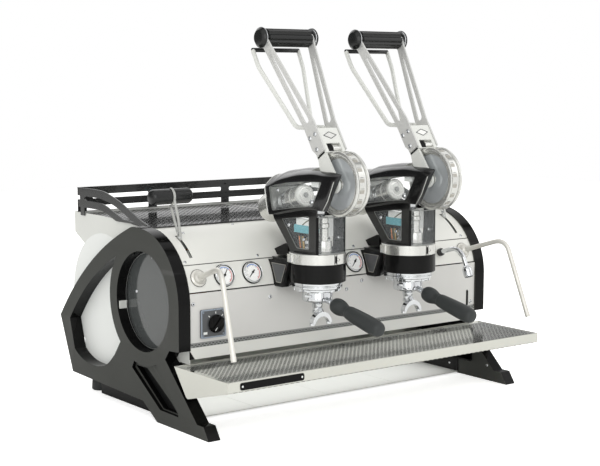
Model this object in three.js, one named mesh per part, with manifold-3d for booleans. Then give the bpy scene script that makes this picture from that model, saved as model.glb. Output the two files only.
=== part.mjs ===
// Two-group lever espresso machine for a counter, in millimetres, +Z up.
// +X is to the right of someone facing the machine and +Y is towards its back.
// Depths are measured from the toes of the side panels, heights from the counter.
// The last lines move the whole machine so that its origin is under the middle of its box.
import * as THREE from 'three';
import { mergeVertices } from 'three/addons/utils/BufferGeometryUtils.js';
import Module from 'manifold-3d';

const wasm = await Module();
wasm.setup();

// Whole machine
const machineWidth = 1000;
const panelThickness = 33;
const panelDepth = 719;
const clearance = 0.3;
const sheet = 2.5;
const cutOverrun = 5;
const weldTolerance = 0.001;
const degree = Math.PI / 180;
const roundSides = 20;
const smallSides = 12;
const partArcSteps = 4;
const bendSteps = 3;

// Front curve that the casing, its panels and the side panels share
const bodyFrontY = 129;
const bodyRadius = 172;
const bodyCentreY = bodyFrontY + bodyRadius;
const bodyCentreZ = 289;
const panelReveal = 4;
const panelRadius = bodyRadius + panelReveal;
const panelHeight = bodyCentreZ + panelRadius;
const innerHalfWidth = machineWidth / 2 - panelThickness;

// Side panels: a leg that leans to the toe, a round window and a rear opening
const panelChinShare = 0.4032;
const panelRearBulge = 32;
const windowRadius = 123.2;
const windowSetForward = 10;
const windowDrop = 3;
const windowRim = 35;
const windowThickness = 4;
const windowY = bodyCentreY - windowSetForward;
const windowZ = bodyCentreZ - windowDrop;
const openingBulge = 20;
const openingArc = [-47 * degree, 39 * degree];
const pocketArc = [-113.5 * degree, -75 * degree];
const pocketDepth = 22;
const legFrontShares = [[0, 0], [0.0292, 0.0667], [0.0668, 0.0667], [0.2594, 0.3462], [0.2337, 0.3968]];
const panelTopShares = [[0.4715, 1], [1, 0.4161]];
const panelBaseShares = [[0.9096, 0.1054], [0.4047, 0.086], [0.3143, 0]];
const openingRearShares = [[0.9263, 0.41], [0.8915, 0.2424]];
const openingCurveShares = [[0.842, 0.184], [0.755, 0.184], [0.62, 0.184]];
const pocketShares = [[0.476, 0.247], [0.293, 0.071], [0.181, 0.069], [0.188, 0.099]];

// Casing behind the front panels, with its round rear
const caseRadius = bodyRadius - sheet - clearance;
const caseTopZ = bodyCentreZ + 1.064 * bodyRadius;
const caseTopStepY = 548;
const caseRearY = 695;
const caseRearDrop = 53.8;
const rearRadius = 165.4;
const rearCentreY = 539.3;
const rearCentreZ = 261.5;
const rearShoulder = 51.5 * degree;
const apronY = 646;
const portRadius = 112;
const trayLedge = 8;

// Chassis and feet
const footHeight = 42;
const footRadius = 24;
const footNeckRadius = 15;
const footNeckHeight = 10;
const footX = 0.938 * innerHalfWidth;
const footY = 614;
const chassisThickness = 3.5;
const panZ = 3;
const panFrontY = 187;
const panRearY = 560;
const deckZ = 100;
const saddleX = 0.535 * innerHalfWidth;
const saddleHalfWidth = 60;
const saddleThickness = 5;
const boilerRadius = 80;
const boilerY = 320;
const boilerZ = 262;
const boilerHalfLength = 0.707 * innerHalfWidth;
const boilerDome = 25;
const boilerWall = 3;
const boilerNeck = 24;

// Drip tray and grille
const trayOverhang = 0.6;
const trayTopZ = 152;
const trayFrontY = -79;
const trayLip = 25.5;
const trayFootY = 87;
const trayFootZ = 83.5;
const trayRearY = 146;
const grilleThickness = 4;
const grilleMargin = 15;
const grilleLedge = 6;
const grilleSlot = [70, 9];
const grillePitch = [100, 40];
const grilleRim = 20;

// Splash panel and front seams
const splashBottomZ = 165;
const splashTopZ = bodyCentreZ + 0.192 * bodyRadius;
const lowerSeam = 168.2 * degree;
const upperSeam = 145.65 * degree;
const seamGap = 0.35 * degree;
const upperEnd = 90 * degree;
const instrumentAngle = 157 * degree;

// Cup tray and cup rail
const cupTrayZ = bodyCentreZ + 1.006 * bodyRadius;
const cupTrayThickness = 3;
const railThickness = 3;
const railRearY = 670;
const railFrontY = bodyCentreY + railThickness;
const railFootZ = panelHeight + 2 * clearance;
const railRise = 72.4;
const railTopZ = railFootZ + railRise;
const railGap = 11;
const railUpperBar = 21;
const railLowerBar = 19;
const railPost = 26;
const railBays = [-0.514 * innerHalfWidth, 0, 0.514 * innerHalfWidth];
const railSlotEnd = 5;
const railRun = railRearY - railFrontY;
const railTopShares = [[1, 1], [0.669, 1], [0.528, 0.89], [0.387, 0.696], [0.251, 0.434], [0.119, 0.185], [0, 0.02]];
const railUnderShares = [[0.445, 0], [0.6, 0.24], [0.707, 0.296], [0.887, 0.296], [0.887, 0], [0.956, 0]];
const railHoleShares = [[0.196, 0.06], [0.251, 0.145], [0.387, 0.407], [0.528, 0.6], [0.669, 0.71], [0.928, 0.71],
  [0.928, 0.558], [0.669, 0.545], [0.6, 0.503], [0.459, 0.282], [0.348, 0.102]];

// Gauges
const gaugeXs = [-0.7715 * innerHalfWidth, -0.5951 * innerHalfWidth, 0.0957 * innerHalfWidth];
const gaugeNames = ['left', 'middle', 'right'];
const bezelRadius = 26.5;
const bezelHeight = 9;
const dialRadius = 23;
const dialDepth = 4;
const gaugeCaseRadius = 21;
const gaugeCaseDepth = 26;
const needleHub = 3;
const needleLength = 17;
const needleTail = 6;
const needleWidth = 2;
const needleThickness = 1.2;
const needleTurns = [-35 * degree, -42 * degree, -38 * degree];

// Rotary switch
const knobX = -0.848 * innerHalfWidth;
const knobZ = 246;
const knobRadius = 20;
const knobDepth = 18;
const knobStandOff = 3;
const knobShaft = 4;
const knobGripWidth = 9;
const knobGripDepth = 8;

// Steam levers
const steamX = 0.9315 * innerHalfWidth;
const steamPivotY = bodyCentreY - 0.2267 * bodyRadius;
const steamPivotZ = bodyCentreZ + 0.6337 * bodyRadius;
const steamStripThickness = 8;
const steamPin = 4;
const steamEye = 9;
const steamGripRadius = 19;
const steamGripHalfLength = 57;
const steamReach = 144;
const steamStripShares = [[-0.05, 0.03], [-0.32, 0.26], [-0.21, 0.52], [-0.05, 0.9], [0.04, 0.9],
  [-0.12, 0.5], [-0.22, 0.3], [0.05, -0.03]];
const steamSlotArc = [112 * degree, 139 * degree];
const steamSlotSide = 4;
const earThickness = 3;
const earInner = 100;

// Steam wands and hot-water tap
const wandX = 0.9272 * innerHalfWidth;
const ballRadius = 15;
const socketRadius = 21;
const socketHeight = 7;
const ballStandOff = 2;
const ballGap = 1.2;
const wandRadius = 7;
const wandBend = 36;
const wandApex = [128, 41];
const wandTip = [200, -166];
const wandSwings = { left: -10 * degree, right: 17.5 * degree };
const tapX = 0.7388 * innerHalfWidth;
const tapCollarRadius = 10;
const tapCollarHeight = 14;
const tapStem = 5;
const tapRadius = 6;
const tapRiseShares = [[0.5, 0.16], [0.74, 0.07], [0.87, -0.2]];
const tapReach = 120;
const nozzleRadius = 13;
const nozzleLength = 30;
const nozzleLean = [-0.4, -0.92];

// Groups
const groupX = 0.31713 * innerHalfWidth;
const groupY = 49;
const groupRadius = 70;
const bandBottomZ = 337;
const ringBottomZ = 382;
const ringTopZ = 408;
const barrelRadius = 58;
const flangeRadius = 62;
const flangeStepRadius = 57;
const flangeStepZ = 320.8;
const flangeBottomZ = 313.6;
const sleeveRadius = 31;
const sleeveTopZ = 445;
const boreRadius = 27.3;
const boreTopZ = 402;
const rodRadius = 9;
const pistonHeight = 14;
const pistonZ = 326;
const plungerRadius = 18;
const plungerTopZ = 499;
const runningGap = 0.3;

// Group bracket on the body
const bracketHalfWidth = 71;
const bracketBottomZ = 320;
const bracketTopZ = 384;
const bracketFrontY = 73;
const bracketFootY = 99;
const wedgeHalfWidth = 39;
const wedgePoints = [[0.12, 0.1], [0.12, 1], [0.25, 1], [1, 0.36], [0.85, 0]];
const wedgeReach = 62;
const wedgeHeight = 33;
const wedgeBottomZ = 391;

// Hood and neck
const hoodHalfWidth = 48;
const hoodCrown = 16;
const hoodBow = 20;
const hoodWall = 4;
const hoodDepth = 274;
const hoodHeight = 110;
const hoodFrontY = -71;
const hoodBottomZ = 490;
const hoodTopShares = [[1, 0.61], [0.916, 0.682], [0.81, 0.79], [0.69, 0.864], [0.569, 0.927], [0.467, 0.964],
  [0.325, 1], [0.182, 0.991], [0.088, 0.973], [0, 0.891]];
const hoodCrownShares = [2.1, 1.75, 1.35, 1, 0.85, 0.77, 0.77, 1, 1.3, 2];
const hoodBowShares = [0, 0, 0, 0, 0, 0, 0, 0, 0, 1];
const hoodUnderShares = [[0.15, 0.227], [0.321, 0.227], [0.467, 0.182], [0.686, 0.082], [0.945, 0]];
const hoodStationShares = [-1, -0.67, -0.35, 0, 0.35, 0.67, 1];
const cavityShares = [[0.92, 0.1], [0.96, 0.58], [0.81, 0.74], [0.569, 0.87], [0.3, 0.94], [0.2, 0.93], [0.2, 0.3],
  [0.467, 0.24]];
const upperPaneShares = [[0.916, 0.627], [0.9, 0.64], [0.5, 0.85], [0.157, 0.864], [0.266, 0.345], [0.5, 0.3],
  [0.883, 0.109]];
const neckHalfWidth = 45;
const neckWall = 4;
const neckFrontY = -3;
const neckDepth = 170;
const neckShares = [[0, 0], [0, 1.35], [0.3, 1.33], [1.04, 1.1], [0.96, 0.82], [0.64, 0.18], [0.61, 0]];
const neckCavityShares = [[-0.1, -0.1], [-0.1, 1.1], [0.05, 1.1], [0.05, 1.5], [0.6, 1.5], [0.75, 1.1], [0.95, 1.05],
  [0.9, 0.82], [0.6, 0.24], [0.56, -0.1]];
const lowerPaneShares = [[0.81, 0.91], [0.165, 1.05], [0.165, 0.11], [0.465, 0.11]];
const paneRecess = 1.5;
const coverRadius = 68;
const coverThickness = 3;
const coverGap = 1;

// Ratchet wheel on the hub axle
const hubY = -48;
const hubZ = 579;
const wheelRadius = 78;
const wheelHalfWidth = 19;
const wheelInnerRadius = 67;
const wheelWeb = 3;
const axleRadius = 8;
const slotMargin = 3;
const slotSide = 2;

// Spring drum at the back of the hood
const drumRadius = 38;
const drumLength = 58;
const drumSpigotRadius = 28;
const drumSpigotLength = 100;
const drumNeckRadius = 18;
const drumStandOff = 2;
const drumTilt = 16.2 * degree;
const drumSetIn = 7;
const drumY = hoodFrontY + hoodDepth - drumSetIn;
const drumZ = 514;

// Lever, measured along it from the hub and across it to the back
const leverLean = 33 * degree;
const leverLength = 413;
const blockHalfWidth = 30;
const blockBottom = 80;
const blockTop = 144;
const blockHalfDepth = 19;
const earWall = 7;
const earShares = [[0.144, -0.21], [1.05, -0.16], [1.05, 0.21], [0.75, 0.4], [0.35, 0.47]];
const hubEyeRadius = 21;
const blockWindow = [[90, 116], 18];
const armThickness = 4.5;
const armBottom = 84;
const armBend = 165;
const armFootHalfWidth = 21.5;
const armTopHalfWidth = 13.5;
const armSplay = 40.2;
const armSlotEnd = 58;
const armSlot = [178, leverLength - armSlotEnd];
const armSlotHalfWidths = [8, 2];
const gripRadius = 22.5;
const gripCore = 6;
const fluteDepth = 2.2;
const flutes = 8;
const capRadius = 26;
const capTipRadius = 18;
const capLength = 13;

// Release lever behind the main one
const releaseRod = 5.5;
const releasePivot = [168, 20];
const releaseHeel = [192, 57];
const releaseKneeDrop = 48;
const releaseKnee = [leverLength - releaseKneeDrop, 58];
const releaseBarAcross = 54;
const releaseFootX = 24.4;
const releaseKneeX = 68.6;
const releaseBarX = 70;
const releaseBend = 8;

// Portafilter
const cupRadius = 38;
const cupBottomZ = 289;
const cupFootRadius = 30;
const cupFootZ = 284;
const stemRadius = 13;
const stemBottomZ = 256;
const archRadius = 29;
const archInnerRadius = 23;
const archDrop = 6;
const archZ = 233;
const archForward = 14;
const archHalfThickness = 8;
const handleSlope = 12.7 * degree;
const handleY = -66;
const handleZ = 287;
const handleNeckRadius = 8;
const handleNeckStart = 30;
const handleLength = 178;
const handleShares = [[0, 0.5], [0.05, 1], [0.12, 0.97], [0.22, 0.75], [0.5, 0.9], [0.75, 1], [0.92, 0.95], [1, 0.5]];
const handleRadius = 20;

// Looks
const looks = {
  polished: { color: 0xd9dad4, roughness: 0.25, metalness: 0.9 },
  satin: { color: 0xc4c5c0, roughness: 0.4, metalness: 0.85 },
  chrome: { color: 0xe4e6e8, roughness: 0.08, metalness: 1 },
  aluminium: { color: 0xcfd0cc, roughness: 0.3, metalness: 0.9 },
  slate: { color: 0x4a4a48, roughness: 0.45, metalness: 0.2 },
  gloss: { color: 0x151515, roughness: 0.12, metalness: 0.1 },
  rubber: { color: 0x353736, roughness: 0.6, metalness: 0 },
  white: { color: 0xe9eae7, roughness: 0.5, metalness: 0 },
  clear: { color: 0xb9c0c2, roughness: 0.05, metalness: 0, transparent: true, opacity: 0.35 },
  brass: { color: 0xb8905a, roughness: 0.3, metalness: 1 },
};

// A three.js geometry as a solid that can be joined and cut
function solid(geometry) {
  const bare = geometry.clone();
  bare.deleteAttribute('normal');
  bare.deleteAttribute('uv');
  const welded = mergeVertices(bare, weldTolerance);
  const spots = welded.attributes.position.array;
  const corners = welded.index.array;
  const faces = [];
  let volume = 0;
  for (let i = 0; i < corners.length; i += 3) {
    const [a, b, c] = [corners[i], corners[i + 1], corners[i + 2]];
    if (a === b || b === c || c === a) continue;
    faces.push([a, b, c]);
    const [p, q, r] = [a, b, c].map((n) => new THREE.Vector3().fromArray(spots, 3 * n));
    volume += p.dot(q.cross(r));
  }
  const turned = volume < 0 ? faces.map(([a, b, c]) => [a, c, b]) : faces;
  const vertProperties = new Float32Array(spots);
  const triVerts = new Uint32Array(turned.flat());
  return new wasm.Manifold(new wasm.Mesh({ numProp: 3, vertProperties, triVerts }));
}

function piece(name, body, look) {
  const { vertProperties, triVerts } = body.getMesh();
  const geometry = new THREE.BufferGeometry();
  geometry.setAttribute('position', new THREE.BufferAttribute(vertProperties, 3));
  geometry.setIndex(new THREE.BufferAttribute(triVerts, 1));
  geometry.computeVertexNormals();
  const mesh = new THREE.Mesh(geometry, new THREE.MeshStandardMaterial(look));
  mesh.name = name;
  return mesh;
}

const unitX = new THREE.Vector3(1, 0, 0);
const unitY = new THREE.Vector3(0, 1, 0);
const unitZ = new THREE.Vector3(0, 0, 1);

// Shapes are drawn in the two axes across the one they are pushed along
const pushBases = {
  x: new THREE.Matrix4().makeBasis(unitY, unitZ, unitX),
  y: new THREE.Matrix4().makeBasis(unitX, unitZ, unitY),
  z: new THREE.Matrix4(),
};

// A ring of points one way round, without any that lie on the next one
function tidyRing(points, clockwise) {
  const spaced = points.filter((point, i) => point.distanceTo(points[(i + 1) % points.length]) > weldTolerance);
  return THREE.ShapeUtils.isClockWise(spaced) === clockwise ? spaced : spaced.reverse();
}

function pushed(axis, shape, from, to, curveSegments = roundSides / 2) {
  const drawn = shape.extractPoints(curveSegments);
  const outline = new THREE.Shape(tidyRing(drawn.shape, false));
  outline.holes = drawn.holes.map((hole) => new THREE.Path(tidyRing(hole, true)));
  const geometry = new THREE.ExtrudeGeometry(outline, { depth: to - from, bevelEnabled: false });
  geometry.translate(0, 0, from);
  return solid(geometry.applyMatrix4(pushBases[axis]));
}

function block([x0, x1], [y0, y1], [z0, z1]) {
  const geometry = new THREE.BoxGeometry(x1 - x0, y1 - y0, z1 - z0);
  return solid(geometry.translate((x0 + x1) / 2, (y0 + y1) / 2, (z0 + z1) / 2));
}

function polygon(points) {
  return new THREE.Shape(points.map(([a, b]) => new THREE.Vector2(a, b)));
}

function circle(a, b, radius) {
  const shape = new THREE.Shape();
  shape.absarc(a, b, radius, 0, 2 * Math.PI, false);
  return shape;
}

function sector(a, b, outer, inner, from, to) {
  const shape = new THREE.Shape();
  shape.absarc(a, b, outer, from, to, from > to);
  shape.absarc(a, b, inner, to, from, from < to);
  return shape;
}

// Share points laid on a rectangle of the named sizes
function scaled(shares, [a0, b0], [aSize, bSize]) {
  return shares.map(([a, b]) => [a0 + a * aSize, b0 + b * bSize]);
}

// A profile of radius and height turned about +Z
function turnedZ(profile, sides = roundSides) {
  const points = profile.map(([r, z]) => new THREE.Vector2(r, z));
  return new THREE.LatheGeometry(points, sides).rotateX(Math.PI / 2);
}

// The same profile turned about the line from a point in a direction
function turnedAlong(profile, start, direction, sides = roundSides) {
  const turn = new THREE.Quaternion().setFromUnitVectors(unitZ, direction.clone().normalize());
  const geometry = turnedZ(profile, sides).applyQuaternion(turn);
  return solid(geometry.translate(start.x, start.y, start.z));
}

function rod(start, end, radius, sides = smallSides) {
  const along = end.clone().sub(start);
  const length = along.length();
  return turnedAlong([[0, 0], [radius, 0], [radius, length], [0, length]], start, along, sides);
}

// A mesh from spots and corner numbers, as a solid
function meshed(spots, corners) {
  const geometry = new THREE.BufferGeometry();
  geometry.setAttribute('position', new THREE.Float32BufferAttribute(spots, 3));
  geometry.setIndex(corners);
  return solid(geometry);
}

// Faces between equal rings of points that follow each other
function bandCorners(rings, count) {
  const corners = [];
  for (let ring = 0; ring < rings - 1; ring += 1) {
    for (let index = 0; index < count; index += 1) {
      const next = (index + 1) % count;
      const [a, b] = [ring * count + index, ring * count + next];
      corners.push(a, b, a + count, b, b + count, a + count);
    }
  }
  return corners;
}

// A round bar through a list of points, with its corners bent
function bentRod(points, radius, bend, sides = smallSides) {
  const stops = [points[0]];
  for (let i = 1; i < points.length - 1; i += 1) {
    const before = points[i].clone().sub(points[i - 1]).normalize();
    const after = points[i + 1].clone().sub(points[i]).normalize();
    const enter = points[i].clone().addScaledVector(before, -bend);
    const leave = points[i].clone().addScaledVector(after, bend);
    stops.push(...new THREE.QuadraticBezierCurve3(enter, points[i], leave).getPoints(bendSteps));
  }
  stops.push(points[points.length - 1]);
  const spots = [];
  const across = new THREE.Vector3(1, 1, 1);
  stops.forEach((stop, i) => {
    const along = stops[Math.min(i + 1, stops.length - 1)].clone().sub(stops[Math.max(i - 1, 0)]).normalize();
    across.addScaledVector(along, -across.dot(along)).normalize();
    const upward = along.clone().cross(across);
    for (let side = 0; side < sides; side += 1) {
      const angle = 2 * Math.PI * side / sides;
      const spot = stop.clone().addScaledVector(across, radius * Math.cos(angle));
      spots.push(...spot.addScaledVector(upward, radius * Math.sin(angle)).toArray());
    }
  });
  const corners = bandCorners(stops.length, sides);
  const last = sides * (stops.length - 1);
  for (let side = 1; side < sides - 1; side += 1) {
    corners.push(0, side + 1, side, last, last + side, last + side + 1);
  }
  return meshed(spots, corners);
}

function joined(bodies) {
  return wasm.Manifold.union(bodies);
}

function bothSides(make) {
  return [make(-1), make(1)];
}

const machine = new THREE.Group();
const sideNames = { '-1': 'left', 1: 'right' };

// A direction and a place on the front curve at an angle about its centre
function outward(angle) {
  return new THREE.Vector3(0, Math.cos(angle), Math.sin(angle));
}

function onCurve(x, angle, radius = bodyRadius) {
  return new THREE.Vector3(x, bodyCentreY, bodyCentreZ).addScaledVector(outward(angle), radius);
}

// Side panels
const panelSize = [panelDepth, panelHeight];

function arcBetween(shape, from, to, bulge) {
  const mid = [(from[0] + to[0]) / 2, (from[1] + to[1]) / 2];
  const run = [to[0] - from[0], to[1] - from[1]];
  const length = Math.hypot(...run);
  const control = [mid[0] - 2 * bulge * run[1] / length, mid[1] + 2 * bulge * run[0] / length];
  shape.quadraticCurveTo(...control, ...to);
}

function sidePanelShape() {
  const shape = new THREE.Shape();
  const front = scaled(legFrontShares, [0, 0], panelSize);
  const [topRear, rearCorner] = scaled(panelTopShares, [0, 0], panelSize);
  shape.moveTo(...front[0]);
  front.slice(1).forEach((point) => shape.lineTo(...point));
  shape.lineTo(bodyFrontY - panelReveal, panelChinShare * panelHeight);
  shape.absarc(bodyCentreY, bodyCentreZ, panelRadius, Math.PI, Math.PI / 2, true);
  shape.lineTo(...topRear);
  arcBetween(shape, topRear, rearCorner, panelRearBulge);
  scaled(panelBaseShares, [0, 0], panelSize).forEach((point) => shape.lineTo(...point));
  shape.holes.push(circle(windowY, windowZ, windowRadius), rearOpeningShape());
  return shape;
}

function rearOpeningShape() {
  const shape = new THREE.Shape();
  const ring = windowRadius + windowRim;
  const at = (angle) => [windowY + ring * Math.cos(angle), windowZ + ring * Math.sin(angle)];
  const [rear, low] = scaled(openingRearShares, [0, 0], panelSize);
  const [turn, bottom, rise] = scaled(openingCurveShares, [0, 0], panelSize);
  shape.moveTo(...at(openingArc[0]));
  shape.absarc(windowY, windowZ, ring, ...openingArc, false);
  arcBetween(shape, at(openingArc[1]), rear, openingBulge);
  shape.lineTo(...low);
  shape.quadraticCurveTo(...turn, ...bottom);
  shape.quadraticCurveTo(...rise, ...at(openingArc[0]));
  return shape;
}

function pocketShape() {
  const shape = new THREE.Shape();
  shape.absarc(windowY, windowZ, windowRadius + windowRim, ...pocketArc, false);
  scaled(pocketShares, [0, 0], panelSize).forEach((point) => shape.lineTo(...point));
  return shape;
}

function sidePanel(side) {
  const outer = machineWidth / 2;
  const span = [side * innerHalfWidth, side * outer].sort((a, b) => a - b);
  const pocket = [side * (outer - pocketDepth), side * (outer + cutOverrun)].sort((a, b) => a - b);
  const body = pushed('x', sidePanelShape(), ...span).subtract(pushed('x', pocketShape(), ...pocket, partArcSteps));
  return piece(`${sideNames[side]}_side_panel`, body, looks.slate);
}

function sideWindow(side) {
  const inner = innerHalfWidth - clearance;
  const span = [side * inner, side * (inner + windowThickness)].sort((a, b) => a - b);
  const body = pushed('x', circle(windowY, windowZ, windowRadius - clearance), ...span);
  return piece(`${sideNames[side]}_window`, body, looks.clear);
}

machine.add(...bothSides(sidePanel), ...bothSides(sideWindow));

// Casing: two end walls with ledges for the cup tray and a round rear wall, open at the front, top and bottom
const chassisTopZ = footHeight + clearance + chassisThickness;
const caseHalfWidth = innerHalfWidth - 2 * clearance;

function caseShape(inset, opened) {
  const reach = opened ? 4 * cutOverrun : 0;
  const shape = new THREE.Shape();
  const radius = caseRadius + reach;
  const floor = chassisTopZ + clearance - reach;
  const top = caseTopZ + reach;
  const rear = caseRearY - inset;
  shape.moveTo(bodyCentreY - radius, floor);
  shape.absarc(bodyCentreY, bodyCentreZ, radius, Math.PI, Math.PI / 2, true);
  shape.lineTo(caseTopStepY, top);
  shape.lineTo(rear, top);
  shape.lineTo(rear, caseTopZ - caseRearDrop);
  const round = rearRadius - inset;
  shape.absarc(rearCentreY, rearCentreZ, round, rearShoulder, -Math.acos((apronY - inset - rearCentreY) / round), true);
  shape.lineTo(apronY - inset, floor);
  return shape;
}

function bodyCase() {
  const inner = caseHalfWidth - sheet;
  const port = pushed('x', circle(windowY, windowZ, portRadius), -innerHalfWidth, innerHalfWidth);
  const shelf = cupTrayZ - clearance;
  const ledges = bothSides((side) => block(
    [side * (inner + sheet / 2), side * (inner - trayLedge)].sort((a, b) => a - b),
    [bodyCentreY, caseRearY - sheet / 2], [shelf - sheet, shelf],
  ));
  return pushed('x', caseShape(0, false), -caseHalfWidth, caseHalfWidth, smallSides)
    .subtract(pushed('x', caseShape(sheet, true), -inner, inner, smallSides))
    .subtract(port)
    .add(joined(ledges));
}

machine.add(piece('body_case', bodyCase(), looks.white));

// Chassis: a low pan between the legs, a raised floor over the feet, side flanges and a deck that carries the boiler
function chassis() {
  const floor = [footHeight + clearance, chassisTopZ];
  const side = innerHalfWidth - clearance;
  const innerCase = caseHalfWidth - sheet - clearance;
  const rear = apronY - sheet - clearance;
  const deckTop = deckZ + chassisThickness;
  const boilerSpan = [boilerY - saddleHalfWidth, boilerY + saddleHalfWidth];
  const runner = (inner, outer, spanY, spanZ) => bothSides((s) => (
    block([s * inner, s * outer].sort((a, b) => a - b), spanY, spanZ)
  ));
  const saddle = (x) => block(
    [x - saddleThickness / 2, x + saddleThickness / 2],
    boilerSpan,
    [deckZ, boilerZ - boilerRadius / 2],
  ).subtract(pushed('x', circle(boilerY, boilerZ, boilerRadius + clearance), x - saddleThickness, x + saddleThickness));
  return joined([
    block([-side, side], [panFrontY, panRearY], [panZ, panZ + sheet]),
    block([-side, side], [panRearY - sheet, panRearY], [panZ, floor[1]]),
    block([-side, side], [panRearY - sheet, rear], floor),
    block([-innerCase, innerCase], boilerSpan, [deckZ, deckTop]),
    ...runner(side - sheet, side, [panFrontY, panRearY], [panZ, floor[1]]),
    ...runner(innerCase - sheet, side, [panFrontY, panRearY], floor),
    ...runner(innerCase - sheet, innerCase, [panFrontY, rear], [floor[0], deckTop]),
    ...bothSides((s) => saddle(s * saddleX)),
  ]);
}

machine.add(piece('base_frame', chassis(), looks.polished));

function boiler() {
  const end = boilerHalfLength;
  const inner = boilerRadius - boilerWall;
  const profile = [
    [0, -end], [0.75 * boilerRadius, boilerDome / 2 - end], [boilerRadius, boilerDome - end],
    [boilerRadius, end - boilerDome], [0.75 * boilerRadius, end - boilerDome / 2], [boilerNeck, end],
    [boilerNeck - boilerWall, end], [0.7 * inner, end - boilerDome / 2 - boilerWall], [inner, end - boilerDome],
    [inner, boilerDome - end], [0.7 * inner, boilerDome / 2 + boilerWall - end], [0, boilerWall - end],
  ];
  return turnedAlong(profile, new THREE.Vector3(0, boilerY, boilerZ), unitX);
}

machine.add(piece('steam_boiler', boiler(), looks.satin));

function foot(side) {
  const profile = [[0, 0], [footRadius, 0], [footRadius, footHeight - footNeckHeight],
    [footNeckRadius, footHeight - footNeckHeight], [footNeckRadius, footHeight], [0, footHeight]];
  const body = turnedAlong(profile, new THREE.Vector3(side * footX, footY, 0), unitZ, 2 * smallSides);
  return piece(`${sideNames[side]}_rear_foot`, body, looks.rubber);
}

machine.add(...bothSides(foot));

// Drip tray with a lip at the front and a sloping underside, and the grille in it
function trayShape(inset, opened) {
  const top = trayTopZ + (opened ? cutOverrun : 0);
  return polygon([
    [trayFrontY + inset, trayTopZ - trayLip + inset], [trayFrontY + inset, top],
    [trayRearY - 1.25 * inset, top], [trayFootY - inset / 4, trayFootZ + 1.25 * inset],
  ]);
}

const trayHalf = machineWidth / 2 + trayOverhang;
const grilleHalf = trayHalf - sheet - clearance;
const grilleFront = trayFrontY + sheet + clearance;
const grilleTop = trayTopZ - clearance;
const grilleRear = trayRearY - 1.25 * sheet - grilleMargin;

// The grille rests on a ledge at each side
function dripTray() {
  const under = grilleTop - grilleThickness - clearance;
  const ledges = bothSides((side) => block(
    [side * (trayHalf - sheet / 2), side * (trayHalf - sheet - grilleLedge)].sort((a, b) => a - b),
    [trayFrontY + sheet / 2, grilleRear - grilleMargin], [under - sheet, under],
  ));
  return pushed('x', trayShape(0, false), -trayHalf, trayHalf)
    .subtract(pushed('x', trayShape(sheet, true), sheet - trayHalf, trayHalf - sheet))
    .add(joined(ledges));
}

machine.add(piece('drip_tray', dripTray(), looks.polished));

function dripGrille() {
  const [long, wide] = grilleSlot;
  const [stepX, stepY] = grillePitch;
  const columns = Math.floor((2 * (grilleHalf - grilleRim) - long) / stepX);
  const rows = Math.floor((grilleRear - grilleFront - 2 * grilleRim - wide) / stepY);
  const middle = (grilleFront + grilleRear) / 2;
  const slots = [];
  for (let row = 0; row <= rows; row += 1) {
    for (let column = 0; column <= columns; column += 1) {
      const x = (column - columns / 2) * stepX;
      const y = middle + (row - rows / 2) * stepY;
      slots.push(block([x - long / 2, x + long / 2], [y - wide / 2, y + wide / 2], [0, machineWidth]));
    }
  }
  return block([-grilleHalf, grilleHalf], [grilleFront, grilleRear], [grilleTop - grilleThickness, grilleTop])
    .subtract(joined(slots));
}

machine.add(piece('drip_grille', dripGrille(), looks.satin));

// Front panels
const frontSpan = [clearance - innerHalfWidth, innerHalfWidth - clearance];

function splashPanel() {
  const hole = rod(
    new THREE.Vector3(knobX, bodyFrontY - cutOverrun, knobZ),
    new THREE.Vector3(knobX, bodyFrontY + cutOverrun, knobZ),
    knobShaft + clearance,
  );
  return block(frontSpan, [bodyFrontY, bodyFrontY + sheet], [splashBottomZ, splashTopZ]).subtract(hole);
}

machine.add(piece('splash_panel', splashPanel(), looks.polished));

function curvedPanel(from, to, steps) {
  const shape = sector(bodyCentreY, bodyCentreZ, bodyRadius, bodyRadius - sheet, from, to);
  return pushed('x', shape, ...frontSpan, steps);
}

function borehole(x, radius) {
  const inside = onCurve(x, instrumentAngle, bodyRadius - 2 * cutOverrun);
  const outside = onCurve(x, instrumentAngle, bodyRadius + 4 * cutOverrun);
  return rod(inside, outside, radius, roundSides);
}

const ballSeat = bodyRadius + ballStandOff;

function wandSocket(x) {
  const profile = [[0, -sheet], [socketRadius, -sheet], [socketRadius, socketHeight - 1], [socketRadius - 1, socketHeight],
    [0, socketHeight]];
  return turnedAlong(profile, onCurve(x, instrumentAngle), outward(instrumentAngle), 1.5 * smallSides);
}

function gaugePanel() {
  const sockets = bothSides((side) => wandSocket(side * wandX));
  const seats = bothSides((side) => {
    const geometry = new THREE.SphereGeometry(ballRadius + ballGap, smallSides, smallSides / 2);
    const centre = onCurve(side * wandX, instrumentAngle, ballSeat);
    return solid(geometry.translate(centre.x, centre.y, centre.z));
  });
  const holes = gaugeXs.map((x) => borehole(x, gaugeCaseRadius + clearance));
  return joined([curvedPanel(lowerSeam, upperSeam, partArcSteps), ...sockets])
    .subtract(joined([...seats, ...holes, borehole(tapX, tapStem + clearance)]));
}

machine.add(piece('gauge_panel', gaugePanel(), looks.polished));

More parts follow.
